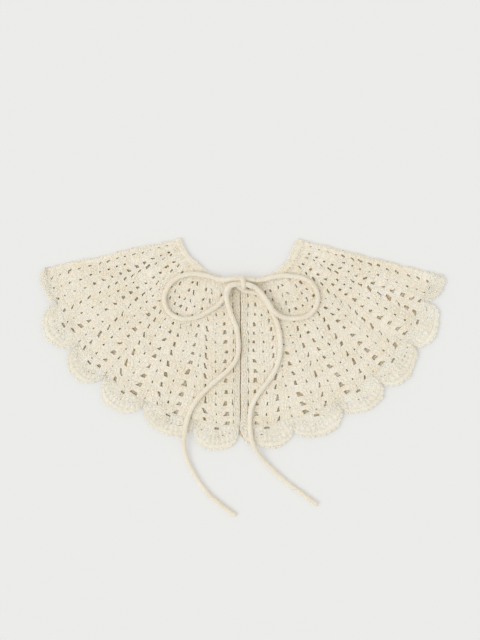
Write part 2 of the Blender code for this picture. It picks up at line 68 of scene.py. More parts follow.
# One row for each fan of a front, from the front edge to the shoulder. The angles say where its middle
# lies at the neck and at the hem. The scallop under it ends at its notch, and a lean above 0 moves its
# fullest part towards the shoulder.
Fan = namedtuple("Fan", "neck_deg hem_deg hem tip lean notch_deg notch")
LEFT_FANS = (
    Fan(24.0, 6.5, 240.0, 272.0, 0.0, 12.6, 247.0),
    Fan(36.0, 21.4, 238.5, 266.5, 0.0, 27.9, 243.0),
    Fan(46.0, 35.2, 239.0, 268.0, 0.03, 41.4, 244.0),
    Fan(55.5, 48.0, 239.0, 270.0, 0.05, 53.6, 243.5),
    Fan(64.5, 60.6, 237.0, 267.5, 0.05, 67.2, 239.5),
    Fan(71.5, 71.4, 235.0, 249.0, 0.08, None, 240.5),
)
RIGHT_FANS = (
    Fan(22.5, 8.4, 240.0, 270.5, 0.0, 15.0, 252.0),
    Fan(32.0, 22.9, 240.5, 272.5, 0.07, 29.3, 251.5),
    Fan(42.5, 36.4, 240.5, 272.5, 0.10, 42.3, 254.0),
    Fan(53.0, 49.3, 240.5, 274.5, -0.05, 55.4, 255.0),
    Fan(62.5, 60.4, 239.5, 272.0, 0.05, 68.2, 245.5),
    Fan(71.0, 70.4, 238.0, 257.0, 0.04, None, 254.0),
)

# The neck's curve on each side, as pairs of an angle and the radius there.
LEFT_NECK = ((0.0, 64.0), (15.0, 65.5), (34.0, 66.3), (54.0, 67.5), (72.0, 70.0), (80.0, 71.8))
RIGHT_NECK = ((0.0, 64.0), (18.0, 66.0), (39.0, 69.5), (53.0, 71.0), (69.0, 70.5), (80.0, 71.8))

# Each side of the collar: -1 is towards -X. The fold is the straight outer edge at the shoulder, from
# the neck's corner to the hem; the band runs down the front opening.
Side = namedtuple("Side", "name sign fans neck fold_neck fold_hem opening band start_notch")
LEFT = Side("left", -1, LEFT_FANS, LEFT_NECK, (-70.2, -14.4), (-235.0, -51.0), 1.8, 7.2, 245.5)
RIGHT = Side("right", 1, RIGHT_FANS, RIGHT_NECK, (70.2, -14.4), (247.0, -60.2), 3.0, 7.8, 246.5)

# The middles of the rows of posts, from the neck (0) to the hem (1), and the edges between the rows. A
# groove parts the neck's finishing round from the first posts.
ROW_MIDDLES = (0.100, 0.163, 0.227, 0.290, 0.355, 0.418, 0.475)
ROW_MIDDLES += (0.539, 0.610, 0.681, 0.752, 0.833, 0.911, 0.972)
NECK_ROUND = 0.026
NECK_GROOVE = 0.012
FIRST_ROW = 0.068
ROW_EDGES = [FIRST_ROW] + [(a + b) / 2 for a, b in zip(ROW_MIDDLES, ROW_MIDDLES[1:])] + [1.0]

# The cloth's lines across a row, as shares of it, which a hole moves to its own ends. The radii at which a
# column line's angle is taken. Half the width of a line of holes, and the width of the one by a band.
HOLE_FROM, HOLE_TO = 0.24, 0.85
NEAR_NECK, NEAR_HEM = 68.0, 239.0
HOLE_HALF_AT_NECK, HOLE_HALF_AT_HEM = 1.0, 2.5
EDGE_HOLE = 1.6

# Half the distance between a fan's two lines of holes, as in the solids: at this radius, its growth for
# each millimetre further out, and its most as a share of the distance between two fans. At the neck, the
# back's fans lie at this share of their angle at the hem.
FAN_HALF = 11.2
FAN_HALF_FROM = 113.0
FAN_HALF_GROWTH = 0.02
FAN_PITCH_SHARE = 0.36
BACK_FAN_SLANT = 0.96

# The shoulder fold, and how far the back stays inside it and inside the fronts' outline.
FOLD_RADIUS = GAP / 2 + WALL / 2
FOLD_OUTER = GAP / 2 + WALL
FOLD_STEPS = 6
FOLD_LIP = 1.2
BACK_EDGE_INSET = FOLD_OUTER + FOLD_LIP + GAP
BACK_INSET = 2.0
CENTRE_BACK_NOTCH = 247.0

# A scallop: the lower this exponent, the fuller it is. Its columns gather towards its middle at the hem.
SCALLOP_EXPONENT = 0.85
SCALLOP_COLUMNS = 24
OUTLINE_STEPS = 241
SHELL_SPREAD = 1.4

# The tie: a round cord, and the height of its middle on the lace, over another cord, and on the surface.
CORD_RADIUS = 3.0
LACE = FRONT_TOP + GAP + CORD_RADIUS
OVER = LACE + 2 * CORD_RADIUS + GAP
GROUND = CORD_RADIUS + 0.05

# Each cord's route: points from the neck's centre, with the height of the cord's middle.
ROUTES = {
    "bow_loop_left": (
        (-15.8, -66.4, 11.6), (-27.0, -63.0, LACE), (-40.2, -59.3, LACE), (-54.6, -57.6, LACE),
        (-69.0, -60.6, LACE), (-80.4, -68.4, LACE), (-87.6, -80.4, LACE), (-88.2, -92.4, LACE),
        (-82.8, -103.8, LACE), (-71.4, -110.4, LACE), (-58.2, -111.0, LACE), (-46.2, -108.0, LACE),
        (-35.4, -102.0, LACE), (-25.8, -96.0, LACE), (-18.6, -88.8, LACE), (-13.6, -81.2, LACE),
        (-10.2, -74.6, LACE),
    ),
    "bow_loop_right": (
        (11.6, -70.6, 15.0), (19.8, -74.4, OVER), (27.6, -81.6, OVER), (34.8, -91.2, OVER),
        (41.4, -101.4, OVER), (48.6, -107.4, 13.0), (58.2, -110.4, LACE), (70.2, -110.8, LACE),
        (82.2, -107.8, LACE), (90.6, -100.2, LACE), (94.4, -90.0, LACE), (93.4, -78.6, LACE),
        (87.2, -69.0, LACE), (77.4, -63.2, LACE), (65.4, -60.6, LACE), (53.4, -60.0, LACE),
        (41.4, -61.6, LACE), (30.6, -64.4, LACE), (20.4, -65.6, LACE), (12.0, -64.4, LACE + 0.6),
    ),
    "tie_tail_left": (
        (-12.6, -75.2, 15.2), (-14.4, -83.4, OVER + 0.8), (-13.4, -92.0, OVER + 0.2), (-10.2, -102.0, 12.4),
        (-6.0, -112.8, LACE), (-1.8, -124.8, LACE), (-0.2, -139.2, LACE), (-0.6, -152.4, LACE),
        (-4.8, -163.2, LACE), (-13.8, -174.0, LACE), (-25.8, -184.2, LACE), (-37.8, -195.0, LACE),
        (-49.2, -207.6, LACE), (-57.6, -221.4, LACE), (-62.4, -236.4, LACE), (-64.4, -250.0, LACE - 0.1),
        (-65.2, -261.6, 8.4), (-63.2, -274.0, 5.4), (-59.2, -285.0, 3.5), (-52.2, -298.2, GROUND),
        (-43.8, -311.4, GROUND), (-34.2, -322.8, GROUND), (-22.8, -332.4, GROUND), (-12.0, -340.8, GROUND),
        (-3.0, -347.4, GROUND),
    ),
    "tie_tail_right": (
        (6.4, -77.6, LACE), (14.0, -78.8, LACE), (20.8, -80.2, LACE), (27.4, -84.4, LACE),
        (34.2, -93.2, LACE), (40.2, -103.2, LACE), (44.8, -113.4, LACE), (48.2, -124.8, LACE),
        (50.0, -138.0, LACE), (49.8, -151.2, LACE), (46.8, -164.4, LACE), (40.8, -177.6, LACE),
        (31.8, -190.2, LACE), (22.8, -202.2, LACE), (16.2, -214.8, LACE), (13.6, -228.0, LACE),
        (13.6, -242.4, LACE), (16.2, -257.4, LACE), (21.0, -268.8, 8.6), (29.0, -279.8, 5.4),
        (38.2, -289.2, GROUND + 0.3), (48.6, -299.0, GROUND), (60.0, -309.0, GROUND),
        (72.0, -317.6, GROUND), (84.0, -326.4, GROUND), (95.2, -334.6, GROUND),
    ),
}
# These end in the knot, and the tails end bare.
LOOPS = ("bow_loop_left", "bow_loop_right")

# The knitted cord: its columns of stitches and each one's points around, the core's radius, how high the
# stitches stand on it, and one stitch's length. The lower these exponents, the fuller a stitch and its
# legs are, and this share of their height runs on between them. The columns wind round once in this
# length.
CORD_WALES = 5
WALE_POINTS = 6
CORD_CORE = 2.45
CORD_RELIEF = 0.55
CORD_STITCH = 3.6
STITCH_EXPONENT, LEG_EXPONENT, RELIEF_BETWEEN = 0.5, 0.7, 0.35
CORD_TURN_EVERY = 190.0

# A bare end: how much thicker its knob is, how far from the end and how wide; then the length that is
# rounded off, and the share of the cord's section that is left at the tip.
KNOB, KNOB_FROM_END, KNOB_WIDTH = 0.12, 2.4, 1.4
END_ROUND, END_CAP = 2.0, 0.05

# The distance between a cord's rings of points, and the steps between two points of its route.
RING_STEP = 0.6
ROUTE_STEPS = 12

# The knot: the turn that the two loops' upper ends make across it, the one from the left tail to the
# right loop's lower end, the turn wrapped over both, and how the other two ends go on inside it. Each
# turn has its fatness, since the pull flattens and widens the cord there.
Turn = namedtuple("Turn", "fatness points")
KNOT_TURNS = (
    Turn(
        1.13,
        (
            (-22.0, -64.4, 10.3), (-15.8, -65.0, 11.9), (-8.0, -63.9, 12.6), (0.0, -63.4, 12.0),
            (7.0, -63.6, 11.0), (14.0, -64.6, 9.9), (20.0, -65.4, 9.4),
        ),
    ),
    Turn(
        1.17,
        (
            (-14.3, -82.4, 16.2), (-13.3, -77.2, 15.7), (-10.6, -72.4, 15.1), (-5.0, -70.4, 14.3),
            (1.0, -69.8, 13.2), (6.6, -69.6, 13.4), (11.6, -70.8, 14.8), (17.4, -73.2, 15.5),
        ),
    ),
    Turn(
        1.10,
        (
            (3.2, -63.6, 9.0), (4.2, -62.4, 12.4), (4.9, -64.2, 15.2), (5.6, -67.4, 15.9),
            (6.0, -71.2, 15.3), (6.0, -74.2, 12.4), (5.4, -74.4, 9.0),
        ),
    ),
    Turn(1.0, ((-11.6, -77.6, 9.2), (-9.0, -72.6, 9.4), (-3.0, -69.0, 9.6))),
    Turn(1.0, ((12.0, -78.4, 9.3), (5.4, -76.4, 9.3), (-1.0, -71.6, 9.6))),
)

# A stitch's strands of yarn, as five points each: across, along from the neck outwards, and up from the
# cloth's middle. They are modelled at the size of one nominal stitch and then laid in each stitch's place.
Strand = namedtuple("Strand", "radius points")
Stitch = namedtuple("Stitch", "width length strands")


def yarn(radius, points, way=1, along=0.0):
    """A strand of yarn, turned over left to right where way is -1, and moved along its stitch."""
    return Strand(radius, tuple((way * x, y + along, z) for x, y, z in points))


# A post of a fan, which is three wraps slanting in turn; the loop at the top of each post; a braid's
# stitch, for the neck and the bands; the eye in the middle of a scallop; and the loop that makes its rim.
WRAP = ((-1.0, 0.2, -1.0), (-0.7, 0.9, -0.2), (0.0, 2.1, 0.15), (0.7, 3.3, -0.2), (1.0, 4.0, -1.0))
POST = Stitch(3.8, 12.3, (yarn(1.55, WRAP), yarn(1.55, WRAP, -1, 4.0), yarn(1.55, WRAP, 1, 8.0)))
OVER_POST = ((-2.4, 1.0, -0.4), (-1.2, -1.2, 0.4), (0.2, -0.6, 0.6), (1.2, 1.4, 0.4), (2.4, 0.6, -0.4))
LOOP = Stitch(3.8, 3.6, (yarn(0.85, OVER_POST),))
BRAID_LEG = ((-1.5, -0.8, -0.2), (-1.4, 1.0, 0.6), (-1.0, 2.4, 0.8), (-0.6, 3.9, 0.6), (-0.3, 5.4, -0.2))
BRAID = Stitch(3.6, 4.4, (yarn(0.92, BRAID_LEG), yarn(0.92, BRAID_LEG, -1)))
TALL_LOOP = ((-1.0, -1.6, 0.0), (-1.3, 1.8, 0.9), (0.0, 5.2, 1.2), (1.3, 1.8, 0.9), (1.0, -1.6, 0.0))
EYE = Stitch(5.0, 3.4, (yarn(0.9, TALL_LOOP),))
WIDE_LOOP = ((-1.4, -1.2, -0.2), (-1.5, 1.6, 0.5), (0.0, 5.4, 0.8), (1.5, 1.6, 0.5), (1.4, -1.2, -0.2))
PICOT = Stitch(4.0, 4.3, (yarn(1.15, WIDE_LOOP),))
STITCHES = {"post": POST, "loop": LOOP, "braid": BRAID, "eye": EYE, "picot": PICOT}

# The openings between the posts: the holes on either side of each fan, wide ones towards the front edge
# and slits towards the shoulder, the dots in the middle of each stretch between them, and the small holes
# beside a front band. How far the posts beside one lean over its inner and its outer end, how far it
# strays and tilts (all as shares of its width), how far it is eased open at its outer end, and where in
# the row it starts and ends. The holes tilt towards their fan's middle.
Shape = namedtuple("Shape", "lean_in lean_out stray tilt ease start end")
SHAPES = {
    "wide": Shape((0.25, 0.90), (-0.30, 0.0), 0.15, (-0.70, -0.15), 0.15, (0.42, 0.54), (0.80, 0.91)),
    "slit": Shape((0.20, 0.70), (0.0, 0.22), 0.15, (0.20, 0.75), 0.15, (0.26, 0.38), (0.74, 0.88)),
    "dot": Shape((0.95, 1.25), (-0.10, 0.15), 0.30, (-0.20, 0.20), 0.05, (0.52, 0.60), (0.78, 0.88)),
    "edge": Shape((1.10, 1.40), (0.10, 0.45), 0.0, (0.0, 0.0), 0.20, (0.30, 0.45), (0.76, 0.88)),
}
HOLES = ("wide", "slit")

# An opening starts past the point where the posts beside it cross, by this share of its row. The posts
# keep clear of it at its outer end, and the cloth is cut wider than it, by these distances. A hole's size
# varies between these two shares.
APEX_GAP = 0.04
POST_EASE = 0.5
CLOTH_EASE = 0.35
SIZE_STRAY = (0.8, 1.15)

# A dot's half width, its most as a share of the stretch that it stands in, and the narrowest of those.
DOT_HALF = 1.2
DOT_SHARE = 0.14
DOT_FROM = 13.0

# How each layer is worked: its cloth's thickness, and how far it stands towards its right side from the
# middle of its solid; the height of its stitches, as a share of the nominal one; how far its groups of
# posts puff up, in the lace and in the edging; how wide the holes open, by their share of the way from the
# neck; and how round a strand is modelled. The back is flatter, and its cloth is thinner, so that its
# stitches stand out on the underside.
Work = namedtuple("Work", "thickness lift height puff shell_puff sizes roundness")
FRONT_WORK = Work(1.9, 0.0, 0.95, 1.1, 1.3, ((0.0, 0.50), (0.30, 0.80), (0.55, 1.0), (1.0, 1.1)), 1)
BACK_SIZES = ((0.0, 0.50), (0.30, 0.80), (0.55, 0.8), (0.75, 0.45), (1.0, 0.35))
BACK_WORK = Work(1.25, -0.32, 0.62, 0.0, 0.0, BACK_SIZES, 0)

# How uneven the hand work is. As shares of their nominal size: a stitch's width, its thickness, how far
# its two ends lean apart and how far it is moved across, the height of a puff, and how far a stitch's
# middle slides along it. In millimetres: how far a stitch is moved along, and up or down.
WIDTH_STRAY = 0.08
THICKNESS_STRAY = 0.1
LEAN_STRAY = 0.12
ACROSS_STRAY = 0.06
PUFF_STRAY = 0.5
SLIDE = 0.15
ALONG_STRAY = 0.6
HEIGHT_STRAY = 0.12
SEED = 7

# The edging, in shares of the way from the hem to its rim: its cloth's lines, and those after which it is
# open, in a hole this wide to each side of a scallop's middle or in slits, this often; how far its posts
# reach, where the two over the hole start, and where its loops lie; its rows of arcs, as from, to and
# their number in a scallop; and the edges of its puffed groups, which are this many columns wide.
EDGING_SHARES = (0.0, 0.14, 0.23, 0.46, 0.50, 0.74, 1.0)
SHELL_HOLE_LINE, SHELL_HOLE_HALF = 1, 2
SHELL_SLIT_LINE, SHELL_SLITS = 3, 0.3
SHELL_POSTS = 14
SHELL_POSTS_TO = 0.44
SHELL_HOLE_TO = 0.24
SHELL_LOOPS = (0.02, 0.16)
SHELL_ARCS = ((0.46, 0.63, 14), (0.58, 0.74, 16), (0.69, 0.85, 17), (0.80, 0.96, 18))
SHELL_ROWS = (0.0, 0.22, 0.45, 0.68, 0.92)
SHELL_GROUP = 2.0

# How far the edging reaches under the hem. How far inside the outline its body and the two sides of its
# rim lie: a distance, and the most that it may be of the way to the hem. The rim's stitches in a scallop,
# and how far inwards each may stray, as a share of its length.
EDGING_TUCK = 1.2
BODY_RIM = (3.4, 0.3)
RIM_INNER = (5.2, 0.8)
RIM_OUTER = (0.2, 0.3)
RIM_STITCHES = 13
RIM_STRAY = 0.4

# The bands: where they start, how high their cloth and the base of their stitches stand, their rolled
# edges, how far the stitches keep clear of the front opening, and how far the posts beside a band lie
# over its edge.
BAND_TOP = 63.0
BAND_CORE_TOP = 4.9
BAND_CLOTH_TOP = 4.75
BAND_ROUND, BAND_ROUND_STEPS = 0.9, 3
BAND_ROWS = 12
CHAIN_INSET = 0.7
BAND_OVERLAP = 0.45

# Soft ridges where the lace doesn't lie quite flat: from, to, half width and height.
Ridge = namedtuple("Ridge", "x1 y1 x2 y2 half height")
FRONT_RIDGES = (
    Ridge(-60.0, -75.0, -96.0, -205.0, 17.0, 0.50),
    Ridge(-96.0, -64.0, -176.0, -158.0, 14.0, 0.42),
    Ridge(-120.0, -38.0, -224.0, -88.0, 12.0, 0.35),
    Ridge(-24.0, -120.0, -36.0, -238.0, 11.0, 0.30),
    Ridge(62.0, -74.0, 78.0, -228.0, 15.0, 0.38),
    Ridge(84.0, -78.0, 158.0, -190.0, 18.0, 0.52),
    Ridge(120.0, -60.0, 222.0, -120.0, 13.0, 0.33),
    Ridge(34.0, -118.0, 40.0, -220.0, 12.0, 0.25),
)

# Where the lace is drawn tight near the shoulders. Here a height is the share by which its holes close.
TIGHT_LINES = (
    Ridge(-75.0, -18.0, -232.0, -56.0, 11.0, 0.55),
    Ridge(-205.0, -70.0, -172.0, -84.0, 34.0, 0.62),
    Ridge(195.0, -50.0, 250.0, -66.0, 26.0, 0.62),
    Ridge(76.0, -18.0, 112.0, -30.0, 14.0, 0.60),
)

# A panel's rows of points, and its length. Along its middle a fan stands up by its swell, which is less at
# the neck and full from this share of the way on, and its rows bow outwards by its wave, which fades out
# over these shares at the neck and at the hem.
SURFACE_ROWS = 61
PANEL_LENGTH = 172.0
FAN_SWELL = 0.5
FULL_SWELL_FROM, SWELL_AT_NECK = 0.4, 0.3
FAN_WAVE = 1.8
WAVE_FADE_NECK, WAVE_FADE_HEM = 0.1, 0.05

# How the cloth strays from its pattern, in waves of this height: each one's length, its direction in
# radians, and the axis that it moves.
Wave = namedtuple("Wave", "length direction axis")
UNEVEN = 0.42
UNEVEN_WAVES = (
    Wave(61.0, 0.4, 0),
    Wave(37.0, 1.9, 0),
    Wave(23.0, 2.7, 0),
    Wave(53.0, 1.2, 1),
    Wave(31.0, 2.3, 1),
    Wave(19.0, 0.2, 1),
)

# Colours, sRGB.
LACE_LIGHT = "#F7EEDC"
LACE_WARM = "#F1E6CF"
EDGING_LIGHT = "#F5EFDF"
EDGING_WARM = "#EEE6D3"
# Painted shade: the back's cloth is a darker, warmer cream than the yarn, so that it looks shaded through
# the fronts' holes and between the back's stitches.
PAINTED_SHADE_LIGHT = "#DCCDAF"
PAINTED_SHADE_WARM = "#D0BF9C"
CORD_LIGHT = "#F3EBD9"
CORD_WARM = "#EDE3CF"
FLOOR_GREY = "#C4C4C2"
FLOOR_GLOW_COLOUR = "#FFFFFE"

# Cotton yarn: how far apart its warmer stretches, its flecks and its fibres lie; how much the flecks add,
# and the noise at which it is all warm and all light; the relief of its plies and of its fibres, as
# strength and depth; its finish; how deep light goes in, how much of it, and how far each colour reaches;
# and for lace and cord, the plies in a strand's width and the bloom of loose fibres.
STRETCH, FLECK, FIBRE = 26.0, 3.2, 0.5
FLECK_SHARE = 0.3
ALL_WARM, ALL_LIGHT = 0.45, 0.85
PLY_RELIEF = (0.25, 0.15)
FIBRE_RELIEF = (0.2, 0.1)
YARN_ROUGHNESS, YARN_SPECULAR, BLOOM_ROUGHNESS = 0.88, 0.25, 0.6
YARN_DEPTH, YARN_GLOW, YARN_REACH = 1.5, 0.4, (1.0, 0.88, 0.7)
LACE_PLIES, LACE_BLOOM = 1.2, 0.18
CORD_PLIES, CORD_BLOOM = 1.0, 0.35

# The surface that the collar lies on: matt, lit from below, this many metres wide and just under it.
PAPER_ROUGHNESS, PAPER_SPECULAR, FLOOR_GLOW = 0.95, 0.1, 0.293
FLOOR_SIZE = 8.0
FLOOR_BELOW = 0.2

# Light: an even sky all round, and a broad window to the left.
SKY_STRENGTH = 0.754
WINDOW_STRENGTH = 0.88
WINDOW_FROM = (-0.65, -0.18, 1.0)
WINDOW_ANGLE = math.radians(40)

# The camera, straight above this point of the collar's frame.
VIEW_CENTRE = (-2.8, 29.6)
VIEW_HEIGHT = 768.0
LENS, SENSOR = 85.0, 36.0


# ---------------------------------------------------------------- scene


def deselect():
    for obj in bpy.context.selected_objects:
        obj.select_set(False)


def linear(hex_colour):
    """An sRGB hex colour as the linear colour that shaders take."""
    channels = [int(hex_colour[i : i + 2], 16) / 255 for i in (1, 3, 5)]
    return [c / 12.92 if c <= 0.04045 else ((c + 0.055) / 1.055) ** 2.4 for c in channels] + [1.0]


def add_node(tree, kind, settings=None, values=None, links=None):
    """A node with its settings, its sockets' values, and the outputs linked into it."""
    node = tree.nodes.new(kind)
    for name, value in (settings or {}).items():
        setattr(node, name, value)
    for name, value in (values or {}).items():
        node.inputs[name].default_value = value
    for name, output in (links or {}).items():
        tree.links.new(output, node.inputs[name])
    return node


def view_from_above():
    """A camera straight above, whose frame is 576 mm by 768 mm on the surface."""
    x, y = VIEW_CENTRE
    distance = VIEW_HEIGHT * MM * LENS / SENSOR
    deselect()
    bpy.ops.object.camera_add(location=(x * MM, y * MM, distance), rotation=(0.0, 0.0, 0.0))
    camera = bpy.context.object
    camera.name = "view_from_above"
    camera.data.lens = LENS
    camera.data.sensor_width = SENSOR
    camera.data.clip_end = 10 * distance
    bpy.context.scene.camera = camera


def soft_light(name, towards, strength, angle):
    """An even light from far away, as wide as a window."""
    deselect()
    bpy.ops.object.light_add(type="SUN", location=(0.0, 0.0, 1.0))
    light = bpy.context.object
    light.name = name
    light.data.energy = strength
    light.data.angle = angle
    light.rotation_euler = Vector(towards).to_track_quat("Z", "Y").to_euler()


def studio():
    scene = bpy.context.scene
    scene.view_settings.view_transform = "Standard"
    world = bpy.data.worlds.new("studio")
    scene.world = world
    world.use_nodes = True
    background = world.node_tree.nodes["Background"]
    background.inputs["Color"].default_value = (1.0, 1.0, 1.0, 1.0)
    background.inputs["Strength"].default_value = SKY_STRENGTH
    soft_light("soft_window", WINDOW_FROM, WINDOW_STRENGTH, WINDOW_ANGLE)

    deselect()
    bpy.ops.mesh.primitive_plane_add(size=FLOOR_SIZE, location=(0.0, 0.0, -FLOOR_BELOW * MM))
    floor = bpy.context.object
    floor.name = "floor"
    bpy.ops.object.transform_apply(location=True, rotation=True, scale=True)
    floor.data.materials.append(backdrop_paper())


# ---------------------------------------------------------------- materials


def backdrop_paper():
    """Matt opal sheet, lit from below as on a light table: an even pale grey with hardly any shadow."""
    material = bpy.data.materials.new("backdrop_paper")
    material.use_nodes = True
    shader = material.node_tree.nodes["Principled BSDF"]
    shader.inputs["Base Color"].default_value = linear(FLOOR_GREY)
    shader.inputs["Roughness"].default_value = PAPER_ROUGHNESS
    shader.inputs["Specular IOR Level"].default_value = PAPER_SPECULAR
    shader.inputs["Emission Color"].default_value = linear(FLOOR_GLOW_COLOUR)
    shader.inputs["Emission Strength"].default_value = FLOOR_GLOW
    return material


def unbleached_cotton(name, light, warm, plies_per_strand, bloom):
    """Plain cotton yarn: matt, cream, with slightly warmer stretches, a twist of plies along each
    strand, and a fine bloom of fibres that lifts the edges a little."""
    material = bpy.data.materials.new(name)
    material.use_nodes = True
    tree = material.node_tree
    shader = tree.nodes["Principled BSDF"]
    coordinates = add_node(tree, "ShaderNodeTexCoord")
    stretches, flecks, fibres = (
        add_node(
            tree,
            "ShaderNodeTexNoise",
            values={"Scale": 1 / (spacing * MM), "Detail": detail, "Roughness": roughness},
            links={"Vector": coordinates.outputs["Object"]},
        ).outputs["Fac"]
        for spacing, detail, roughness in ((STRETCH, 2.0, 0.6), (FLECK, 1.0, 0.5), (FIBRE, 3.0, 0.7))
    )
    added = {"operation": "MULTIPLY_ADD"}
    mixed = add_node(tree, "ShaderNodeMath", added, {1: FLECK_SHARE}, {0: flecks, 2: stretches})
    ramp = add_node(tree, "ShaderNodeValToRGB", links={"Fac": mixed.outputs["Value"]})
    for element, position, colour in zip(ramp.color_ramp.elements, (ALL_WARM, ALL_LIGHT), (warm, light)):
        element.position = position
        element.color = linear(colour)
    plies = add_node(
        tree,
        "ShaderNodeTexWave",
        {"wave_type": "BANDS", "bands_direction": "DIAGONAL", "wave_profile": "SIN"},
        {"Scale": plies_per_strand, "Distortion": 0.6, "Detail": 1.0, "Detail Scale": 2.0},
        {"Vector": coordinates.outputs["UV"]},
    )
    ply_bump = add_node(
        tree,
        "ShaderNodeBump",
        values={"Strength": PLY_RELIEF[0], "Distance": PLY_RELIEF[1] * MM},
        links={"Height": plies.outputs["Fac"]},
    )
    fibre_bump = add_node(
        tree,
        "ShaderNodeBump",
        values={"Strength": FIBRE_RELIEF[0], "Distance": FIBRE_RELIEF[1] * MM},
        links={"Height": fibres, "Normal": ply_bump.outputs["Normal"]},
    )
    tree.links.new(ramp.outputs["Color"], shader.inputs["Base Color"])
    tree.links.new(fibre_bump.outputs["Normal"], shader.inputs["Normal"])
    shader.inputs["Roughness"].default_value = YARN_ROUGHNESS
    shader.inputs["Subsurface Weight"].default_value = YARN_GLOW
    shader.inputs["Subsurface Radius"].default_value = YARN_REACH
    shader.inputs["Subsurface Scale"].default_value = YARN_DEPTH * MM
    shader.inputs["Specular IOR Level"].default_value = YARN_SPECULAR
    shader.inputs["Sheen Weight"].default_value = bloom
    shader.inputs["Sheen Roughness"].default_value = BLOOM_ROUGHNESS
    return material


# ---------------------------------------------------------------- meshes


def finish_piece(obj, material, replaced=()):
    """Gives a finished piece its material and its body, and hides the solids that it stands for."""
    obj.data.materials.clear()
    obj.data.materials.append(material)
    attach(obj, BODY)
    if replaced:
        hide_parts(*replaced)


def link(name, mesh):
    obj = bpy.data.objects.new(name, mesh)
    bpy.context.scene.collection.objects.link(obj)
    return obj


def fetched(items, attribute, width, kind=float):
    """An attribute of all of a mesh's items as one array, this many values for each."""
    values = np.zeros(len(items) * width, kind)
    items.foreach_get(attribute, values)
    return values.reshape(-1, width) if width > 1 else values


def face_outwards(mesh):
    """Turns a closed mesh's faces round if they point inwards, where its volume comes out below 0."""
    mesh.calc_loop_triangles()
    corners = fetched(mesh.loop_triangles, "vertices", 3, np.int32)
    a, b, c = np.moveaxis(fetched(mesh.vertices, "co", 3)[corners], 1, 0)
    if (a * np.cross(b, c)).sum() < 0:
        mesh.flip_normals()


# A mesh as plain arrays: its points, each face's corners one after another with where each face starts,
# and the corners' UVs; and the length of the stitch that it shows.
Pattern = namedtuple("Pattern", "points corners starts uvs length")


def pattern_of(mesh, length):
    points = fetched(mesh.vertices, "co", 3)
    corners = fetched(mesh.loops, "vertex_index", 1, np.int32)
    starts = fetched(mesh.polygons, "loop_start", 1, np.int32)
    return Pattern(points, corners, starts, fetched(mesh.uv_layers[0].data, "uv", 2), length)


def repeated_mesh(name, pattern, places):
    """One mesh of many copies of a pattern; places holds each copy's points."""
    copies, count = places.shape[:2]
    number = np.arange(copies)[:, None]
    mesh = bpy.data.meshes.new(name)
    mesh.vertices.add(copies * count)
    mesh.vertices.foreach_set("co", (places * MM).astype(np.float32).ravel())
    corners = (pattern.corners + number * count).ravel()
    mesh.loops.add(len(corners))
    mesh.loops.foreach_set("vertex_index", corners.astype(np.int32))
    starts = (pattern.starts + number * len(pattern.corners)).ravel()
    mesh.polygons.add(len(starts))
    mesh.polygons.foreach_set("loop_start", starts.astype(np.int32))
    mesh.update(calc_edges=True)
    uv_map = mesh.uv_layers.new(name="UVMap")
    uv_map.data.foreach_set("uv", np.tile(pattern.uvs.ravel(), copies).astype(np.float32))
    face_outwards(mesh)
    mesh.shade_smooth()
    return mesh


def model_stitch(stitch, roundness):
    """One stitch, modelled from its strands of yarn, as a pattern in shares of its width and length."""
    deselect()
    made = []
    for strand in stitch.strands:
        bpy.ops.curve.primitive_nurbs_path_add(location=(0.0, 0.0, 0.0))
        curve = bpy.context.object
        spline = curve.data.splines[0]
        for point, place in zip(spline.points, strand.points):
            point.co = (*place, 1.0)
        spline.order_u = 4
        spline.resolution_u = 1
        curve.data.resolution_u = 1
        curve.data.bevel_depth = strand.radius
        curve.data.bevel_resolution = roundness
        curve.data.use_fill_caps = True
        bpy.ops.object.convert(target="MESH")
        made.append(bpy.context.object)
        deselect()
    for obj in made:
        obj.select_set(True)
    bpy.context.view_layer.objects.active = made[0]
    bpy.ops.object.join()
    joined = bpy.context.object
    pattern = pattern_of(joined.data, stitch.length)
    pattern.points[:, :2] /= (stitch.width, stitch.length)
    bpy.data.objects.remove(joined)
    return pattern


def run_along(points):
    """The distance along a line of points from its first to each of them."""
    return np.concatenate([[0.0], np.cumsum(np.linalg.norm(np.diff(points, axis=0), axis=1))])


def evenly_spaced(points, along, parts):
    """Points that part a line of points evenly, and how far along it each lies."""
    targets = np.linspace(0.0, along[-1], parts + 1)
    return np.stack([np.interp(targets, along, values) for values in points.T], axis=1), targets


# ---------------------------------------------------------------- cords


def smooth_route(points):
    """Points evenly spaced along a smooth curve through the route's points."""
    route = [np.array(p, float) for p in points]
    padded = [2 * route[0] - route[1], *route, 2 * route[-1] - route[-2]]
    fine = []
    for a, b, c, d in zip(padded, padded[1:], padded[2:], padded[3:]):
        for t in np.linspace(0.0, 1.0, ROUTE_STEPS, endpoint=False):
            near = 2 * b + (c - a) * t + (2 * a - 5 * b + 4 * c - d) * t**2
            fine.append(0.5 * (near + (3 * b - a - 3 * c + d) * t**3))
    fine = np.array([*fine, route[-1]])
    along = run_along(fine)
    places, spaced = evenly_spaced(fine, along, max(3, round(along[-1] / RING_STEP)))
    places[:, :2] += NECK_CENTRE
    return places, spaced


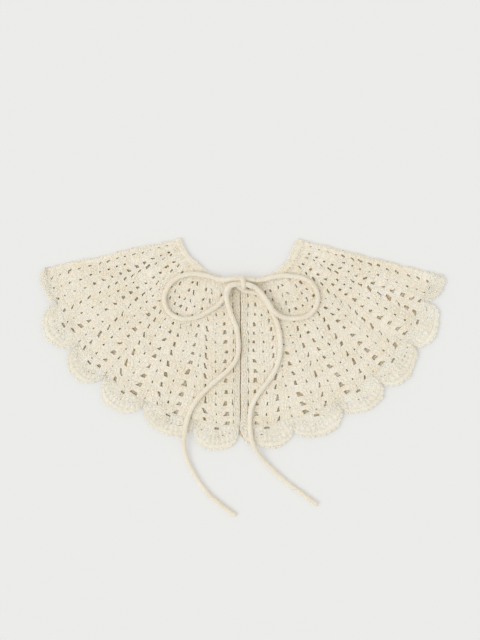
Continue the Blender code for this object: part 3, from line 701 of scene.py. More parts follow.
def knitted_tube(places, along, fatness, bare):
    """Rings of points along a cord's route, raised in its columns of V-shaped stitches. The far end is
    closed round and a little knobby where it is bare."""
    tangents = np.gradient(places, axis=0)
    tangents /= np.linalg.norm(tangents, axis=1)[:, None]
    side = np.cross(tangents[0], (0.0, 0.0, 1.0))
    around = 2 * np.pi * np.arange(CORD_WALES * WALE_POINTS) / (CORD_WALES * WALE_POINTS)
    wale = np.arange(CORD_WALES * WALE_POINTS) % WALE_POINTS / WALE_POINTS
    leg = np.abs(wale - 0.5) * 2
    rings = []
    for place, tangent, run in zip(places, tangents, along):
        side = side - tangent * side.dot(tangent)
        side /= np.linalg.norm(side)
        up = np.cross(side, tangent)
        stitch = np.abs(np.sin(np.pi * (run / CORD_STITCH + 0.5 * leg))) ** STITCH_EXPONENT
        relief = RELIEF_BETWEEN + (1 - RELIEF_BETWEEN) * stitch
        relief = np.sin(np.pi * leg) ** LEG_EXPONENT * relief
        radius = (CORD_CORE + CORD_RELIEF * relief) * fatness
        if bare:
            to_end = along[-1] - run
            knob = 1.0 + KNOB * math.exp(-(((to_end - KNOB_FROM_END) / KNOB_WIDTH) ** 2))
            rounding = math.sqrt(max(END_CAP, 1 - max(0.0, 1 - to_end / END_ROUND) ** 2))
            radius = radius * knob * rounding
        turn = around + 2 * np.pi * run / CORD_TURN_EVERY
        rings.append(
            place + radius[:, None] * (np.cos(turn)[:, None] * side + np.sin(turn)[:, None] * up)
        )
    return np.array(rings)


def tube_mesh(name, routes, bare=False):
    """One mesh with a knitted tube along each route; routes are (places, along, fatness)."""
    points, faces, uvs = [], [], []
    for places, along, fatness in routes:
        rings = knitted_tube(places, along, fatness, bare)
        first = sum(len(p) for p in points)
        count, around = rings.shape[:2]
        points.append(rings.reshape(-1, 3))
        for i in range(count - 1):
            for j in range(around):
                k = (j + 1) % around
                low, high = first + i * around, first + (i + 1) * around
                faces.append((low + j, low + k, high + k, high + j))
                here, there = along[i] / CORD_STITCH, along[i + 1] / CORD_STITCH
                left, right = j / around, (j + 1) / around
                uvs += [(left, here), (right, here), (right, there), (left, there)]
        for i, order in ((0, -1), (count - 1, 1)):
            faces.append([first + i * around + j for j in range(around)][::order])
            uvs += [(0.5 + 0.5 * math.cos(j), 0.5 + 0.5 * math.sin(j)) for j in range(around)]
    mesh = bpy.data.meshes.new(name)
    mesh.from_pydata(np.concatenate(points) * MM, [], faces)
    uv_map = mesh.uv_layers.new(name="UVMap")
    uv_map.data.foreach_set("uv", np.array(uvs, np.float32).ravel())
    face_outwards(mesh)
    mesh.shade_smooth()
    return mesh


def tie(material):
    """The tie's loops and tails as free cords, and the turns of its knot."""
    for name, points in ROUTES.items():
        places, along = smooth_route(points)
        bare = name not in LOOPS
        cord = link(f"{name}_cord", tube_mesh(name, [(places, along, 1.0)], bare))
        finish_piece(cord, material, [name])
    turns = [(*smooth_route(turn.points), turn.fatness) for turn in KNOT_TURNS]
    knot = link("bow_knot_turns", tube_mesh("bow_knot_turns", turns))
    finish_piece(knot, material, ["bow_knot"])


# ---------------------------------------------------------------- the collar's lines


def polar(radius, degrees):
    angle = math.radians(degrees)
    return np.array([radius * math.sin(angle), -radius * math.cos(angle)])


def degrees_of(point):
    return math.degrees(math.atan2(point[0], -point[1]))


# A straight line in the plane of the collar: its nearest point to the neck's centre, and its direction
# outwards.
Line = namedtuple("Line", "foot direction")


def line_through(inner, outer):
    inner, outer = np.array(inner, float), np.array(outer, float)
    direction = (outer - inner) / np.linalg.norm(outer - inner)
    return Line(inner - direction * inner.dot(direction), direction)


def at_radius(line, radius):
    run = math.sqrt(max(radius**2 - line.foot.dot(line.foot), 0.0))
    return line.foot + line.direction * run


def left_of(direction):
    return np.array([-direction[1], direction[0]])


def moved_across(line, distance):
    foot = line.foot + left_of(line.direction) * distance
    return line_through(foot, foot + line.direction)


def turned(point, arc):
    """The point moved along its circle about the neck's centre, towards larger angles."""
    angle = arc / np.linalg.norm(point)
    c, s = math.cos(angle), math.sin(angle)
    return np.array([c * point[0] - s * point[1], s * point[0] + c * point[1]])


def neck_radius(side, degrees):
    return np.interp(abs(degrees), *zip(*side.neck))


def hem_radius(side, degrees):
    return np.interp(abs(degrees), [f.hem_deg for f in side.fans], [f.hem for f in side.fans])


def fold_line(side, inset):
    return moved_across(line_through(side.fold_neck, side.fold_hem), -side.sign * inset)


def opening_line(x):
    return Line(np.array([x, 0.0]), np.array([0.0, -1.0]))


def fan_middle(side, fan, radial):
    """The line up the middle of a fan: a front's slants, and the back's is nearly radial."""
    neck_deg = fan.hem_deg * BACK_FAN_SLANT if radial else fan.neck_deg
    inner = polar(neck_radius(side, neck_deg), side.sign * neck_deg)
    return line_through(inner, polar(fan.hem, side.sign * fan.hem_deg))


def fan_half(middles, index, radius):
    """Half of a fan's width here: near the neck the fans stand too close for the full one."""
    here = at_radius(middles[index], radius)
    others = [i for i in (index - 1, index + 1) if 0 <= i < len(middles)]
    pitch = min(np.linalg.norm(at_radius(middles[i], radius) - here) for i in others)
    return min(FAN_HALF + FAN_HALF_GROWTH * (radius - FAN_HALF_FROM), FAN_PITCH_SHARE * pitch)


# A column line of a lace panel: the middle that it follows, how many fan halves and hole halves it
# stands from it, how far it swells, and which openings, if any, follow it.
Column = namedtuple("Column", "side line fan halves holes swell opens")


def fan_columns(side, index, line, way):
    """The column lines of one fan: hole line, fan, hole line. way is 1 towards larger angles."""
    return [
        Column(side, line, index, -way, -way, 0.0, "wide"),
        Column(side, line, index, -way, way, 0.0, None),
        Column(side, line, index, 0, 0, 1.0, None),
        Column(side, line, index, way, -way, 0.0, "slit"),
        Column(side, line, index, way, way, 0.0, None),
    ]


def edge_column(side, line, opens=None):
    return Column(side, line, None, 0, 0, 0.0, opens)


def across(column, middles, share, point):
    """A point of the middle that a column follows, moved over to the column itself."""
    if column.fan is None:
        return point
    half = fan_half(middles, column.fan, np.linalg.norm(point))
    hole = HOLE_HALF_AT_NECK + share * (HOLE_HALF_AT_HEM - HOLE_HALF_AT_NECK)
    return turned(point, column.halves * half + column.holes * hole)


def column_point(column, middles, share, inset):
    """Where a column line crosses a row: share 0 is the neck, 1 is the hem."""
    by_neck = across(column, middles, 0.0, at_radius(column.line, NEAR_NECK))
    by_hem = across(column, middles, 1.0, at_radius(column.line, NEAR_HEM))
    neck = neck_radius(column.side, degrees_of(by_neck)) + inset
    hem = hem_radius(column.side, degrees_of(by_hem)) - GAP / 2
    return across(column, middles, share, at_radius(column.line, neck + share * (hem - neck)))


def with_dots(flat, columns):
    """The columns' points, swells and openings, with a narrow opening in the middle of each stretch
    between two lines of holes."""
    swell, opens = [c.swell for c in columns], [c.opens for c in columns]
    holes = [number for number, kind in enumerate(opens) if kind in HOLES]
    for left, last in reversed(list(zip(holes, holes[1:]))):
        first = left + 1
        span = flat[:, last] - flat[:, first]
        width = np.linalg.norm(span, axis=1)[:, None]
        half = span / width * np.minimum(DOT_HALF, DOT_SHARE * width)
        in_fan = last - first == 2
        middle = flat[:, first + 1] if in_fan else (flat[:, first] + flat[:, last]) / 2
        pair = np.stack([middle - half, middle + half], axis=1)
        flat = np.concatenate([flat[:, : first + 1], pair, flat[:, last:]], axis=1)
        swell[first + 1 : last] = [float(in_fan)] * 2
        opens[first + 1 : last] = ["dot", None]
    return flat, swell, opens


# ---------------------------------------------------------------- surfaces

# The middle of a cloth: points over rows (shares of the way outwards) and columns, the direction in
# which its right side faces at each, for each column its swell and which openings follow it, and how the
# groups of stitches between the openings puff up.
Surface = namedtuple("Surface", "points normals shares swell opens puffs", defaults=(None,))

# Where the puffed groups of stitches meet, in shares and in columns, and how far each stands up.
Puffs = namedtuple("Puffs", "shares columns heights")


def rise(ridges, x, y):
    """How far these ridges rise here."""
    height = np.zeros_like(x)
    for ridge in ridges:
        run = np.array([ridge.x2 - ridge.x1, ridge.y2 - ridge.y1])
        length = np.linalg.norm(run)
        run = run / length
        dx, dy = x - ridge.x1, y - ridge.y1
        along = np.clip((dx * run[0] + dy * run[1]) / length, 0.0, 1.0)
        away = np.hypot(dx - along * length * run[0], dy - along * length * run[1])
        height = np.maximum(height, ridge.height * np.exp(-((away / ridge.half) ** 2)))
    return height


def folded_under(flat, fold, side):
    """Carries rows on from the fold's axis, round the half circle and on to the lip under it."""
    outwards = left_of(fold.direction) * side.sign
    middle = BACK_TOP + GAP / 2
    points, normals = [], []
    for step in range(1, FOLD_STEPS + 1):
        angle = math.pi * step / FOLD_STEPS
        ring = np.empty((len(flat), 3))
        ring[:, :2] = flat + outwards * FOLD_RADIUS * math.sin(angle)
        ring[:, 2] = middle + FOLD_RADIUS * math.cos(angle)
        points.append(ring)
        normals.append([*(outwards * math.sin(angle)), math.cos(angle)])
    lip = points[-1].copy()
    lip[:, :2] -= outwards * FOLD_LIP
    return points + [lip], normals + [[0.0, 0.0, -1.0]]


def front_surface(side, shares):
    """A front's surface at these shares of the way from the neck, from its band to its fold's lip."""
    middles = [fan_middle(side, fan, False) for fan in side.fans]
    edge = side.opening + side.sign * (side.band + GAP)
    fold = fold_line(side, FOLD_OUTER)
    columns = [
        edge_column(side, opening_line(edge), "edge"),
        edge_column(side, opening_line(edge + side.sign * EDGE_HOLE)),
    ]
    for index, middle in enumerate(middles):
        columns += fan_columns(side, index, middle, side.sign)
    columns.append(edge_column(side, fold))
    flat = np.array([[column_point(c, middles, s, 0.0) for c in columns] for s in shares])
    flat, swell, opens = with_dots(flat, columns)
    return laid_surface(flat, shares, swell, opens, fold, side)


def laid_surface(flat, shares, swell, opens, fold, side):
    """A front piece's surface over its flat points, with its ridges and its fold."""
    points = np.empty((*flat.shape[:2], 3))
    points[..., :2] = flat
    points[..., 2] = FRONT_MIDDLE + rise(FRONT_RIDGES, flat[..., 0], flat[..., 1])
    points[:, -1, 2] = FRONT_MIDDLE
    round_fold, facing = folded_under(flat[:, -1], fold, side)
    points = np.concatenate([points, np.stack(round_fold, axis=1)], axis=1)
    normals = np.zeros_like(points)
    normals[:, : len(swell), 2] = 1.0
    normals[:, len(swell) :] = np.array(facing)
    more = len(round_fold)
    return Surface(points, normals, shares, np.array([*swell, *[0.0] * more]), opens + [None] * more)


def back_surface(shares):
    """The back's surface, from the left shoulder to the right."""
    lines = []
    for side in (LEFT, RIGHT):
        fans = [(side, fan_middle(side, fan, True)) for fan in side.fans]
        lines += fans[::-1] if side.sign < 0 else fans
    middles = [line for _, line in lines]
    columns = [edge_column(LEFT, fold_line(LEFT, BACK_EDGE_INSET))]
    for index, (side, middle) in enumerate(lines):
        columns += fan_columns(side, index, middle, 1)
    columns.append(edge_column(RIGHT, fold_line(RIGHT, BACK_EDGE_INSET)))
    flat = np.array([[column_point(c, middles, s, BACK_INSET) for c in columns] for s in shares])
    flat, _, opens = with_dots(flat, columns)
    return under_surface(flat, shares, opens)


def under_surface(flat, shares, opens):
    """A back piece's surface: flat on the ground, with its right side down."""
    points = np.empty((*flat.shape[:2], 3))
    points[..., :2] = flat
    points[..., 2] = BACK_MIDDLE
    normals = np.zeros_like(points)
    normals[..., 2] = -1.0
    return Surface(points, normals, shares, np.zeros(flat.shape[1]), opens)


# One side's scallops: their outline from the front edge to the shoulder, evenly spaced along each, and
# where each of those columns starts at the hem.
Scallops = namedtuple("Scallops", "base rim")


def scallop(side, start, end, tip, lean):
    """One scallop's columns, from notch to notch. start and end are (degrees, radius)."""
    around = np.linspace(0.0, math.pi, OUTLINE_STEPS)
    share = (1 - np.cos(around)) / 2
    depth = tip - (start[1] + end[1]) / 2
    height = np.abs(np.sin(around)) ** SCALLOP_EXPONENT - lean * np.sin(2 * around)
    radii = start[1] + share * (end[1] - start[1]) + depth * height
    angles = start[0] + share * (end[0] - start[0])
    outline = np.array([polar(r, side.sign * a) for r, a in zip(radii, angles)])
    rim, _ = evenly_spaced(outline, run_along(outline), SCALLOP_COLUMNS)
    evenly = np.linspace(-1.0, 1.0, SCALLOP_COLUMNS + 1)
    spread = np.sign(evenly) * np.abs(evenly) ** SHELL_SPREAD
    bases = (start[0] + end[0]) / 2 + spread * (end[0] - start[0]) / 2
    base = np.array([polar(hem_radius(side, a) - EDGING_TUCK, side.sign * a) for a in bases])
    return base[:-1], rim[:-1]


def side_scallops(side, inset, first, last):
    """All of one side's scallops. first and last are its edge lines, and first may be None."""
    end = at_radius(last, side.fans[-1].notch - (inset if first is None else 0.0))
    reach = np.linalg.norm(end)
    from_deg = 0.0 if first is None else side.sign * degrees_of(at_radius(first, reach))
    start = (from_deg, side.start_notch - inset)
    bases, rims = [], []
    for fan in side.fans:
        if fan.notch_deg is None:
            notch = (abs(degrees_of(end)), reach)
        else:
            notch = (fan.notch_deg, fan.notch - inset)
        base, rim = scallop(side, start, notch, fan.tip - inset, fan.lean)
        bases.append(base)
        rims.append(rim)
        start = notch
    hem = hem_radius(side, abs(degrees_of(end))) - EDGING_TUCK
    base = np.concatenate([*bases, [at_radius(last, hem)]])
    rim = np.concatenate([*rims, [end]])
    if first is not None:
        base[0] = at_radius(first, np.linalg.norm(base[0]))
        rim[0] = at_radius(first, np.linalg.norm(rim[0]))
    return Scallops(base, rim)


def inside_rim(scallops, distance, share):
    """Points this far inside the outline, but at most this share of the way to the hem."""
    inwards = scallops.base - scallops.rim
    length = np.linalg.norm(inwards, axis=1)[:, None]
    return scallops.rim + inwards * np.minimum(distance / length, share)


def edging_rows(scallops):
    """An edging's flat rows from the hem to its rim, and those of its rim's strip, with their shares."""
    body_rim, rim_from, rim_to = (
        inside_rim(scallops, distance, share) for distance, share in (BODY_RIM, RIM_INNER, RIM_OUTER)
    )
    strips = ((scallops.base, body_rim, EDGING_SHARES), (rim_from, rim_to, (0.0, 1.0)))
    return [
        (np.array([inner + share * (outer - inner) for share in shares]), np.array(shares))
        for inner, outer, shares in strips
    ]


def front_edging_surfaces(side):
    """The edging's surface from the hem to the rim, and the strip of its rim."""
    fold = fold_line(side, FOLD_OUTER)
    scallops = side_scallops(side, 0.0, opening_line(side.opening), fold)
    count = len(scallops.base)
    return [
        laid_surface(flat, shares, [0.0] * count, [None] * count, fold, side)
        for flat, shares in edging_rows(scallops)
    ]


def back_edging_surfaces():
    """The same two for the back, from the left shoulder to the right."""
    halves = []
    for side in (LEFT, RIGHT):
        start = side._replace(start_notch=CENTRE_BACK_NOTCH + BACK_INSET)
        halves.append(side_scallops(start, BACK_INSET, None, fold_line(side, BACK_EDGE_INSET)))
    left, right = halves
    scallops = Scallops(*(np.concatenate([a[::-1], b[1:]]) for a, b in zip(left, right)))
    closed = [None] * len(scallops.base)
    return [under_surface(flat, shares, closed) for flat, shares in edging_rows(scallops)]


def strip_along(surface):
    """A two-row surface turned into one whose rows follow its length."""
    points = surface.points.transpose(1, 0, 2)
    along = run_along(points.mean(axis=1))
    normals = surface.normals.transpose(1, 0, 2)
    return Surface(points, normals, along / along[-1], np.zeros(2), [None, None]), along[-1]


def band_surface(side):
    """The top of a front band, with its rows from the neck down, clear of the front opening."""
    inner, outer = side.opening + side.sign * CHAIN_INSET, side.opening + side.sign * side.band
    bottom = side.fans[0].hem - GAP
    ys = np.linspace(-BAND_TOP, -bottom, BAND_ROWS)
    points = np.array([[(x, y, BAND_CLOTH_TOP) for x in (inner, outer)] for y in ys])
    normals = np.zeros_like(points)
    normals[..., 2] = 1.0
    shares = np.linspace(0.0, 1.0, len(ys))
    return Surface(points, normals, shares, np.zeros(2), [None, None]), bottom - BAND_TOP


def uneven(points):
    """How far hand-worked cloth strays from its pattern here, across and along."""
    x, y = points[..., 0], points[..., 1]
    shift = np.zeros_like(points)
    for wave in UNEVEN_WAVES:
        run = x * math.cos(wave.direction) + y * math.sin(wave.direction)
        shift[..., wave.axis] += UNEVEN * np.sin(2 * np.pi * run / wave.length + 3 * wave.direction)
    return shift


def puffs_between(shares, columns, height, chance):
    """Groups of stitches between these shares and columns, each puffed up by about this height."""
    count = (len(shares) - 1, len(columns) - 1)
    heights = height * chance.uniform(1 - PUFF_STRAY, 1 + PUFF_STRAY, count)
    return Puffs(np.array(shares, float), np.array(columns, float), heights)


def puffed(puffs, column, share):
    """How far the stitches stand up here: most in the middle of their group."""
    if puffs is None:
        return 0.0
    row = np.interp(share, puffs.shares, np.arange(len(puffs.shares)))
    group = np.interp(column, puffs.columns, np.arange(len(puffs.columns)))
    r = np.clip(row.astype(int), 0, puffs.heights.shape[0] - 1)
    g = np.clip(group.astype(int), 0, puffs.heights.shape[1] - 1)
    return puffs.heights[r, g] * np.sin(np.pi * (row - r)) * np.sin(np.pi * (group - g))


def on_surface(surface, column, share, height):
    """Points at crosswise places (in columns) and shares of the way outwards, raised by a height."""
    rows, columns = surface.points.shape[:2]
    swollen = np.interp(column, np.arange(columns), surface.swell)
    fading = np.clip(share / WAVE_FADE_NECK, 0.0, 1.0) * np.clip((1 - share) / WAVE_FADE_HEM, 0.0, 1.0)
    waved = share + FAN_WAVE / PANEL_LENGTH * np.sin(swollen * np.pi / 2) * fading
    row = np.interp(waved, surface.shares, np.arange(rows))
    r = np.clip(row.astype(int), 0, rows - 2)
    c = np.clip(np.floor(column).astype(int), 0, columns - 2)
    fr = (row - r)[..., None]
    fc = (column - c)[..., None]

    def blend(grid):
        near = grid[r, c] * (1 - fc) + grid[r, c + 1] * fc
        far = grid[r + 1, c] * (1 - fc) + grid[r + 1, c + 1] * fc
        return near * (1 - fr) + far * fr

    normal = blend(surface.normals)
    normal /= np.linalg.norm(normal, axis=-1)[..., None]
    outward = FAN_SWELL * np.sin(swollen * np.pi / 2)
    outward = outward * np.clip(share / FULL_SWELL_FROM, SWELL_AT_NECK, 1.0)
    outward = outward + puffed(surface.puffs, column, share)
    places = blend(surface.points) + normal * (height + outward)[..., None]
    places += uneven(places)
    places[..., 2] = np.maximum(places[..., 2], 0.0)
    places[..., :2] += NECK_CENTRE
    return places


def row_line(surface, share):
    """Where a row crosses each column."""
    row = np.interp(share, surface.shares, np.arange(len(surface.shares)))
    low = min(int(row), len(surface.shares) - 2)
    return surface.points[low] + (row - low) * (surface.points[low + 1] - surface.points[low])


def row_lengths(surface, share):
    """The distance along a row from its first column to each column."""
    return run_along(row_line(surface, share))


# ---------------------------------------------------------------- laying stitches

# A place for one stitch: its crosswise edges (in columns) at its inner and outer end, the shares of its
# two ends, and whether it is turned over left to right.
Cell = namedtuple("Cell", "left0 right0 left1 right1 share0 share1 mirrored")


def straight_cells(edges, share0, share1, mirrored=False):
    """Places side by side between these edges, each as wide at both ends."""
    return [Cell(a, b, a, b, share0, share1, mirrored) for a, b in zip(edges, edges[1:])]


def lay_stitches(name, pattern, cells, surface, height, chance):
    """One mesh with the stitch in each cell, a little uneven as hand work is."""
    left0, right0, left1, right1, share0, share1, mirrored = np.array(cells, float).T[..., None]
    crosswise, along, up = pattern.points.T
    count = (len(cells), 1)
    side = np.where(mirrored > 0, -1.0, 1.0)
    wider = chance.uniform(1 - WIDTH_STRAY, 1 + WIDTH_STRAY, count)
    lean = chance.uniform(-LEAN_STRAY, LEAN_STRAY, count) * (along - 0.5)
    a = 0.5 + crosswise * side * wider + lean + chance.uniform(-ACROSS_STRAY, ACROSS_STRAY, count)
    b = along + chance.uniform(-ALONG_STRAY, ALONG_STRAY, count) / pattern.length
    b = b + chance.uniform(-SLIDE, SLIDE, count) * np.sin(np.pi * np.clip(b, 0.0, 1.0))
    column = (left0 + (left1 - left0) * b) * (1 - a) + (right0 + (right1 - right0) * b) * a
    share = share0 + (share1 - share0) * b
    lift = up * height * chance.uniform(1 - THICKNESS_STRAY, 1 + THICKNESS_STRAY, count)
    lift = lift + chance.uniform(-HEIGHT_STRAY, HEIGHT_STRAY, count)
    return link(name, repeated_mesh(name, pattern, on_surface(surface, column, share, lift)))


def lay_all(name, work, patterns, chance, kinds):
    """A piece for each kind of stitch; kinds are (the piece's name, the stitch, its cells, the surface)."""
    return [
        lay_stitches(f"{name}_{part}", patterns[stitch], cells, surface, work.height, chance)
        for part, stitch, cells, surface in kinds
    ]


def solid_runs(openings, columns):
    """The stretches of columns between a row's openings, as (first, last)."""
    edges = [0, *(edge for column in sorted(openings) for edge in (column, column + 1)), columns - 1]
    return [(first, last) for first, last in zip(edges[::2], edges[1::2]) if last > first]


# One opening in a row: where its edges stand along the row's inner and outer end, and the part of the
# row's length that it takes up.
Opening = namedtuple("Opening", "left0 right0 left1 right1 start end")


def row_openings(surface, share0, share1, sizes, chance):
    """A row's openings, by column. Where the posts beside one cross at its inner end, it starts there."""
    inner, outer = row_lengths(surface, share0), row_lengths(surface, share1)
    line = row_line(surface, (share0 + share1) / 2)
    by_share = np.interp(share1, *zip(*sizes))
    made = {}
    for column, kind in enumerate(surface.opens):
        if kind is None or (kind == "dot" and outer[column + 2] - outer[column - 1] < DOT_FROM):
            continue
        shape = SHAPES[kind]
        wide0, wide1 = inner[column + 1] - inner[column], outer[column + 1] - outer[column]
        stray, tilt = wide1 * chance.uniform(-shape.stray, shape.stray), wide1 * chance.uniform(*shape.tilt)
        lean_in, lean_out = wide0 * chance.uniform(*shape.lean_in), wide1 * chance.uniform(*shape.lean_out)
        left0, right0 = inner[column] + stray + tilt + lean_in, inner[column + 1] + stray + tilt - lean_in
        left1 = outer[column] + stray - tilt + lean_out - shape.ease
        right1 = outer[column + 1] + stray - tilt - lean_out + shape.ease
        start, end = chance.uniform(*shape.start), chance.uniform(*shape.end)
        if kind in HOLES:
            x, y = line[column : column + 2, :2].mean(axis=0)
            size = by_share * chance.uniform(*SIZE_STRAY) * (1 - rise(TIGHT_LINES, x, y))
            closing = (1 - size) * (right1 - left1) / 2
            left1, right1 = left1 + closing, right1 - closing
            start = end - (end - start) * math.sqrt(min(size, 1.0))
        if kind == "edge":
            left0 = left1 = -BAND_OVERLAP
        crossed = max(0.0, left0 - right0)
        apex = crossed / (crossed + right1 - left1)
        start = max(apex + APEX_GAP, start)
        made[column] = Opening(left0, right0, left1, right1, start, max(end, start + APEX_GAP))
    return made


def post_row(surface, share0, share1, openings, mirrored):
    """A row's posts: they fill the stretches between the row's openings."""
    inner, outer = row_lengths(surface, share0), row_lengths(surface, share1)
    numbers = np.arange(len(inner))
    cells = []
    for first, last in solid_runs(openings, len(inner)):
        low0, high0, low1, high1 = inner[first], inner[last], outer[first], outer[last]
        if first - 1 in openings:
            low0, low1 = openings[first - 1].right0, openings[first - 1].right1 + POST_EASE
        if last in openings:
            high0, high1 = openings[last].left0, openings[last].left1 - POST_EASE
        count = max(1, round((high0 - low0 + high1 - low1) / 2 / POST.width))
        edges0 = np.interp(np.linspace(low0, high0, count + 1), inner, numbers)
        edges1 = np.interp(np.linspace(low1, high1, count + 1), outer, numbers)
        for left0, right0, left1, right1 in zip(edges0, edges0[1:], edges1, edges1[1:]):
            cells.append(Cell(left0, right0, left1, right1, share0, share1, mirrored))
    return cells


def loop_row(surface, share, mirrored):
    """The loops along a row's edge, one after another right across the panel."""
    lengths = row_lengths(surface, share)
    count = max(2, round(lengths[-1] / LOOP.width))
    edges = np.interp(np.linspace(0.0, lengths[-1], count + 1), lengths, np.arange(len(lengths)))
    return straight_cells(edges, share, share + LOOP.length / PANEL_LENGTH, mirrored)


def thin_cloth(name, work, surface, columns, shares, open_cells):
    """The cloth that the stitches make up: a thin sheet with its holes cut through. columns and shares
    say where each point of its grid lies."""
    grid = on_surface(surface, columns, shares, np.full_like(columns, work.lift))
    grid[..., 2] = np.maximum(grid[..., 2], work.thickness / 2)
    rows, count = columns.shape
    faces = []
    for row in range(rows - 1):
        for column in range(count - 1):
            if (row, column) in open_cells:
                continue
            low = row * count + column
            faces.append((low, low + 1, low + count + 1, low + count))
    mesh = bpy.data.meshes.new(name)
    mesh.from_pydata(grid.reshape(-1, 3) * MM, [], faces)
    cloth = link(name, mesh)
    deselect()
    cloth.select_set(True)
    bpy.context.view_layer.objects.active = cloth
    wall = cloth.modifiers.new("wall", "SOLIDIFY")
    wall.thickness = work.thickness * MM
    wall.offset = 0.0
    bpy.ops.object.modifier_apply(modifier="wall")
    face_outwards(cloth.data)
    deselect()
    return cloth


def cloth_grid(surface, shares):
    """A cloth's grid on a surface: the column and the share of each of its points."""
    return np.meshgrid(np.arange(len(surface.opens), dtype=float), np.array(shares, float))


def panel_cloth(name, work, surface, rows):
    """A lace panel's cloth, cut through at its openings. rows holds each row's start, end and openings."""
    lines = [0.0, NECK_ROUND]
    for start, end, _ in rows:
        lines += [start, start + HOLE_FROM * (end - start), start + HOLE_TO * (end - start)]
    columns, shares = cloth_grid(surface, [*lines, 1.0])
    numbers = np.arange(len(surface.opens))
    open_cells = set()
    for start, end, openings in rows:
        line = lines.index(start) + 1
        for column, opening in openings.items():
            open_cells.add((line, column))
            for more, part in ((0, opening.start), (1, opening.end)):
                share = start + part * (end - start)
                lengths = row_lengths(surface, share)
                left = opening.left0 + part * (opening.left1 - opening.left0) - CLOTH_EASE
                right = opening.right0 + part * (opening.right1 - opening.right0) + CLOTH_EASE
                columns[line + more, column : column + 2] = np.interp((left, right), lengths, numbers)
                shares[line + more, column : column + 2] = share
    return thin_cloth(name, work, surface, columns, shares, open_cells)


def panel(name, work, surface_of, patterns, chance):
    """A lace panel: its cloth, its posts, the loops of its rows and its neck's finishing round."""
    surface = surface_of(np.linspace(0.0, 1.0, SURFACE_ROWS))
    if work.puff:
        middles = [column + 0.5 for column, kind in enumerate(surface.opens) if kind]
        ends = [middles[0] - 1.0, *middles[1:], len(surface.opens) - FOLD_STEPS]
        surface = surface._replace(puffs=puffs_between([NECK_ROUND, *ROW_EDGES], ends, work.puff, chance))
    neck = surface_of(np.array([0.0, NECK_ROUND]))
    first = row_openings(surface, NECK_ROUND, FIRST_ROW, work.sizes, chance)
    posts = post_row(surface, NECK_ROUND + NECK_GROOVE, FIRST_ROW, first, False)
    loops, rows = [], []
    for number, (start, end) in enumerate(zip(ROW_EDGES, ROW_EDGES[1:])):
        openings = row_openings(surface, start, end, work.sizes, chance)
        rows.append((start, end, openings))
        posts += post_row(surface, start, end, openings, number % 2 == 1)
        loops += loop_row(surface, start, number % 2 == 0)
    strip, length = strip_along(neck)
    kinds = (
        ("posts", "post", posts, surface),
        ("row_loops", "loop", loops, surface),
        ("neck_round", "braid", chain(length, 1), strip),
    )
    pieces = lay_all(name, work, patterns, chance, kinds)
    return panel_cloth(f"{name}_cloth", work, surface, rows), pieces


def chain(length, columns):
    """Chains of stitches that follow a strip, side by side."""
    shares = np.linspace(0.0, 1.0, round(length / BRAID.length) + 1)
    edges = np.linspace(0.0, 1.0, columns + 1)
    return [
        cell
        for chain_edges in zip(edges, edges[1:])
        for start, end in zip(shares, shares[1:])
        for cell in straight_cells(chain_edges, start, end)
    ]


def shell_row(surface, share0, share1, posts, middle_from=None, mirrored=False):
    """A row of the edging: this many stitches in each scallop. The two in its middle may start further
    out, and two more fill what is left past the last scallop, at the fold."""
    cells = []
    scallops = len(surface.opens) // SCALLOP_COLUMNS
    for number in range(scallops):
        edges = number * SCALLOP_COLUMNS + np.linspace(0.0, SCALLOP_COLUMNS, posts + 1)
        row = straight_cells(edges, share0, share1, mirrored)
        if middle_from is not None:
            for i in (posts // 2 - 1, posts // 2):
                row[i] = row[i]._replace(share0=middle_from)
        cells += row
    rest, last = scallops * SCALLOP_COLUMNS, len(surface.opens) - 1
    if last > rest:
        cells += straight_cells(np.linspace(rest, last, 3), share0, share1, mirrored)
    return cells


def shell_holes(surface, chance):
    """The edging cloth's open cells: a small hole at the hem in the middle of each scallop, and here and
    there a slit between its posts and its first row of arcs."""
    scallops = len(surface.opens) // SCALLOP_COLUMNS
    middles = [number * SCALLOP_COLUMNS + SCALLOP_COLUMNS // 2 for number in range(scallops)]
    besides = range(-SHELL_HOLE_HALF, SHELL_HOLE_HALF)
    holes = {(SHELL_HOLE_LINE, middle + beside) for middle in middles for beside in besides}
    columns = range(1, scallops * SCALLOP_COLUMNS)
    slits = {(SHELL_SLIT_LINE, column) for column in columns if chance.random() < SHELL_SLITS}
    return holes | slits


def eyes(surface):
    """The loop that stands in the hole in the middle of each scallop."""
    lengths = row_lengths(surface, 0.0)
    numbers = np.arange(len(lengths))
    cells = []
    for number in range(len(surface.opens) // SCALLOP_COLUMNS):
        middle = (number + 0.5) * SCALLOP_COLUMNS
        run = np.interp(middle, numbers, lengths)
        edges = np.interp((run - EYE.width / 2, run + EYE.width / 2), lengths, numbers)
        depth = np.linalg.norm(surface.points[-1, round(middle)] - surface.points[0, round(middle)])
        cells += straight_cells(edges, 0.0, EYE.length / depth)
    return cells


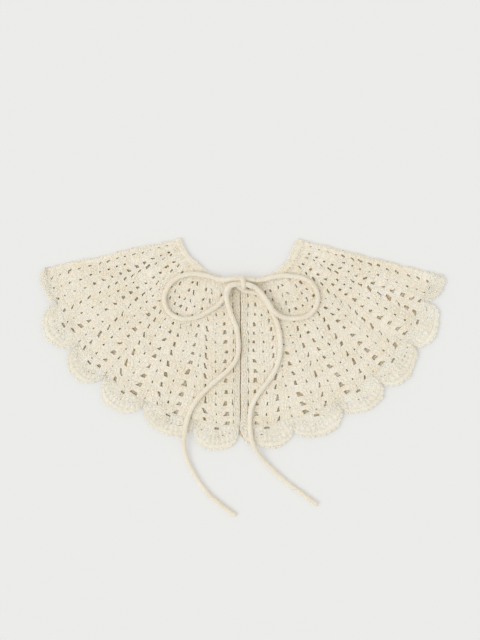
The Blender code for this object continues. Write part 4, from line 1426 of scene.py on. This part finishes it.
def edging(name, work, surface, rim, holes, patterns, chance):
    """The scalloped edging: its cloth, its posts, the loops over them, its rows of arcs and its rim."""
    if work.shell_puff:
        groups = np.arange(0.0, len(surface.opens), SHELL_GROUP)
        surface = surface._replace(puffs=puffs_between(SHELL_ROWS, groups, work.shell_puff, chance))
    columns, shares = cloth_grid(surface, EDGING_SHARES)
    cloth = thin_cloth(f"{name}_cloth", work, surface, columns, shares, holes)
    posts = shell_row(surface, 0.0, SHELL_POSTS_TO, SHELL_POSTS, SHELL_HOLE_TO)
    loops = shell_row(surface, *SHELL_LOOPS, SHELL_POSTS, SHELL_HOLE_TO, True)
    loops = [cell for cell in loops if cell.share0 < cell.share1]
    arcs = []
    for start, end, count in SHELL_ARCS:
        arcs += shell_row(surface, start, end, count)
    rims = []
    for cell in shell_row(rim, 0.0, 1.0, RIM_STITCHES):
        inwards = chance.uniform(0.0, RIM_STRAY)
        rims.append(cell._replace(share0=cell.share0 - inwards, share1=cell.share1 - inwards))
    kinds = (
        ("posts", "post", posts, surface),
        ("row_loops", "loop", loops, surface),
        ("arcs", "loop", arcs, surface),
        ("rim", "picot", rims, rim),
        ("centre_loops", "eye", eyes(surface), surface),
    )
    return cloth, lay_all(name, work, patterns, chance, kinds)


def front_band(side, patterns, chance):
    """A front band: close cloth with rolled edges, and two chains of stitches down its top."""
    surface, length = band_surface(side)
    deselect()
    bpy.ops.mesh.primitive_cube_add(size=1.0, location=(0.0, 0.0, 0.0))
    band = bpy.context.object
    band.name = f"{side.name}_band_core"
    x, y = NECK_CENTRE + (side.opening + side.sign * side.band / 2, -BAND_TOP - length / 2)
    middle = (x, y, (FRONT_UNDER + BAND_CORE_TOP) / 2)
    size = (side.band, length, BAND_CORE_TOP - FRONT_UNDER)
    bpy.ops.object.mode_set(mode="EDIT")
    bpy.ops.mesh.select_all(action="SELECT")
    bpy.ops.transform.resize(value=[value * MM for value in size])
    bpy.ops.mesh.bevel(offset=BAND_ROUND * MM, segments=BAND_ROUND_STEPS, affect="EDGES")
    bpy.ops.transform.translate(value=[value * MM for value in middle])
    bpy.ops.object.mode_set(mode="OBJECT")
    band.data.shade_smooth()
    kinds = (("chains", "braid", chain(length, 2), surface),)
    return band, *lay_all(f"{side.name}_band", FRONT_WORK, patterns, chance, kinds)


def finish_lace(cloth, cloth_cotton, pieces, stitch_cotton, solid):
    """Finishes a cloth, which stands for this solid, and the stitches on it."""
    finish_piece(cloth, cloth_cotton, [solid])
    for piece in pieces:
        finish_piece(piece, stitch_cotton)


# ---------------------------------------------------------------- building

view_from_above()
studio()
cord_cotton = unbleached_cotton("knitted_cotton_cord", CORD_LIGHT, CORD_WARM, CORD_PLIES, CORD_BLOOM)
# The third cotton is darker: painted shade for the back's cloths.
lace_cotton, edging_cotton, painted_shade_cotton = (
    unbleached_cotton(name, light, warm, LACE_PLIES, LACE_BLOOM)
    for name, light, warm in (
        ("crocheted_cotton_lace", LACE_LIGHT, LACE_WARM),
        ("loosely_crocheted_cotton_edging", EDGING_LIGHT, EDGING_WARM),
        ("cotton_darkened_for_painted_shade", PAINTED_SHADE_LIGHT, PAINTED_SHADE_WARM),
    )
)
tie(cord_cotton)

patterns, back_patterns = (
    {name: model_stitch(stitch, work.roundness) for name, stitch in STITCHES.items()}
    for work in (FRONT_WORK, BACK_WORK)
)
chance = np.random.default_rng(SEED)
for side in (LEFT, RIGHT):
    band, chains = front_band(side, patterns, chance)
    finish_piece(band, lace_cotton, [f"{side.name}_front_band"])
    finish_piece(chains, lace_cotton)
    cloth, pieces = panel(
        f"{side.name}_front", FRONT_WORK, partial(front_surface, side), patterns, chance
    )
    finish_lace(cloth, lace_cotton, pieces, lace_cotton, f"{side.name}_front")
    surface, rim = front_edging_surfaces(side)
    holes = shell_holes(surface, chance)
    cloth, pieces = edging(f"{side.name}_edging", FRONT_WORK, surface, rim, holes, patterns, chance)
    finish_lace(cloth, edging_cotton, pieces, edging_cotton, f"{side.name}_front_edging")

# The back's cloths take the darker cotton, as painted shade under the fronts and between the back's
# stitches.
cloth, pieces = panel("back", BACK_WORK, back_surface, back_patterns, chance)
finish_lace(cloth, painted_shade_cotton, pieces, lace_cotton, "back")
surface, rim = back_edging_surfaces()
cloth, pieces = edging("back_edging", BACK_WORK, surface, rim, set(), back_patterns, chance)
finish_lace(cloth, painted_shade_cotton, pieces, lace_cotton, "back_edging")
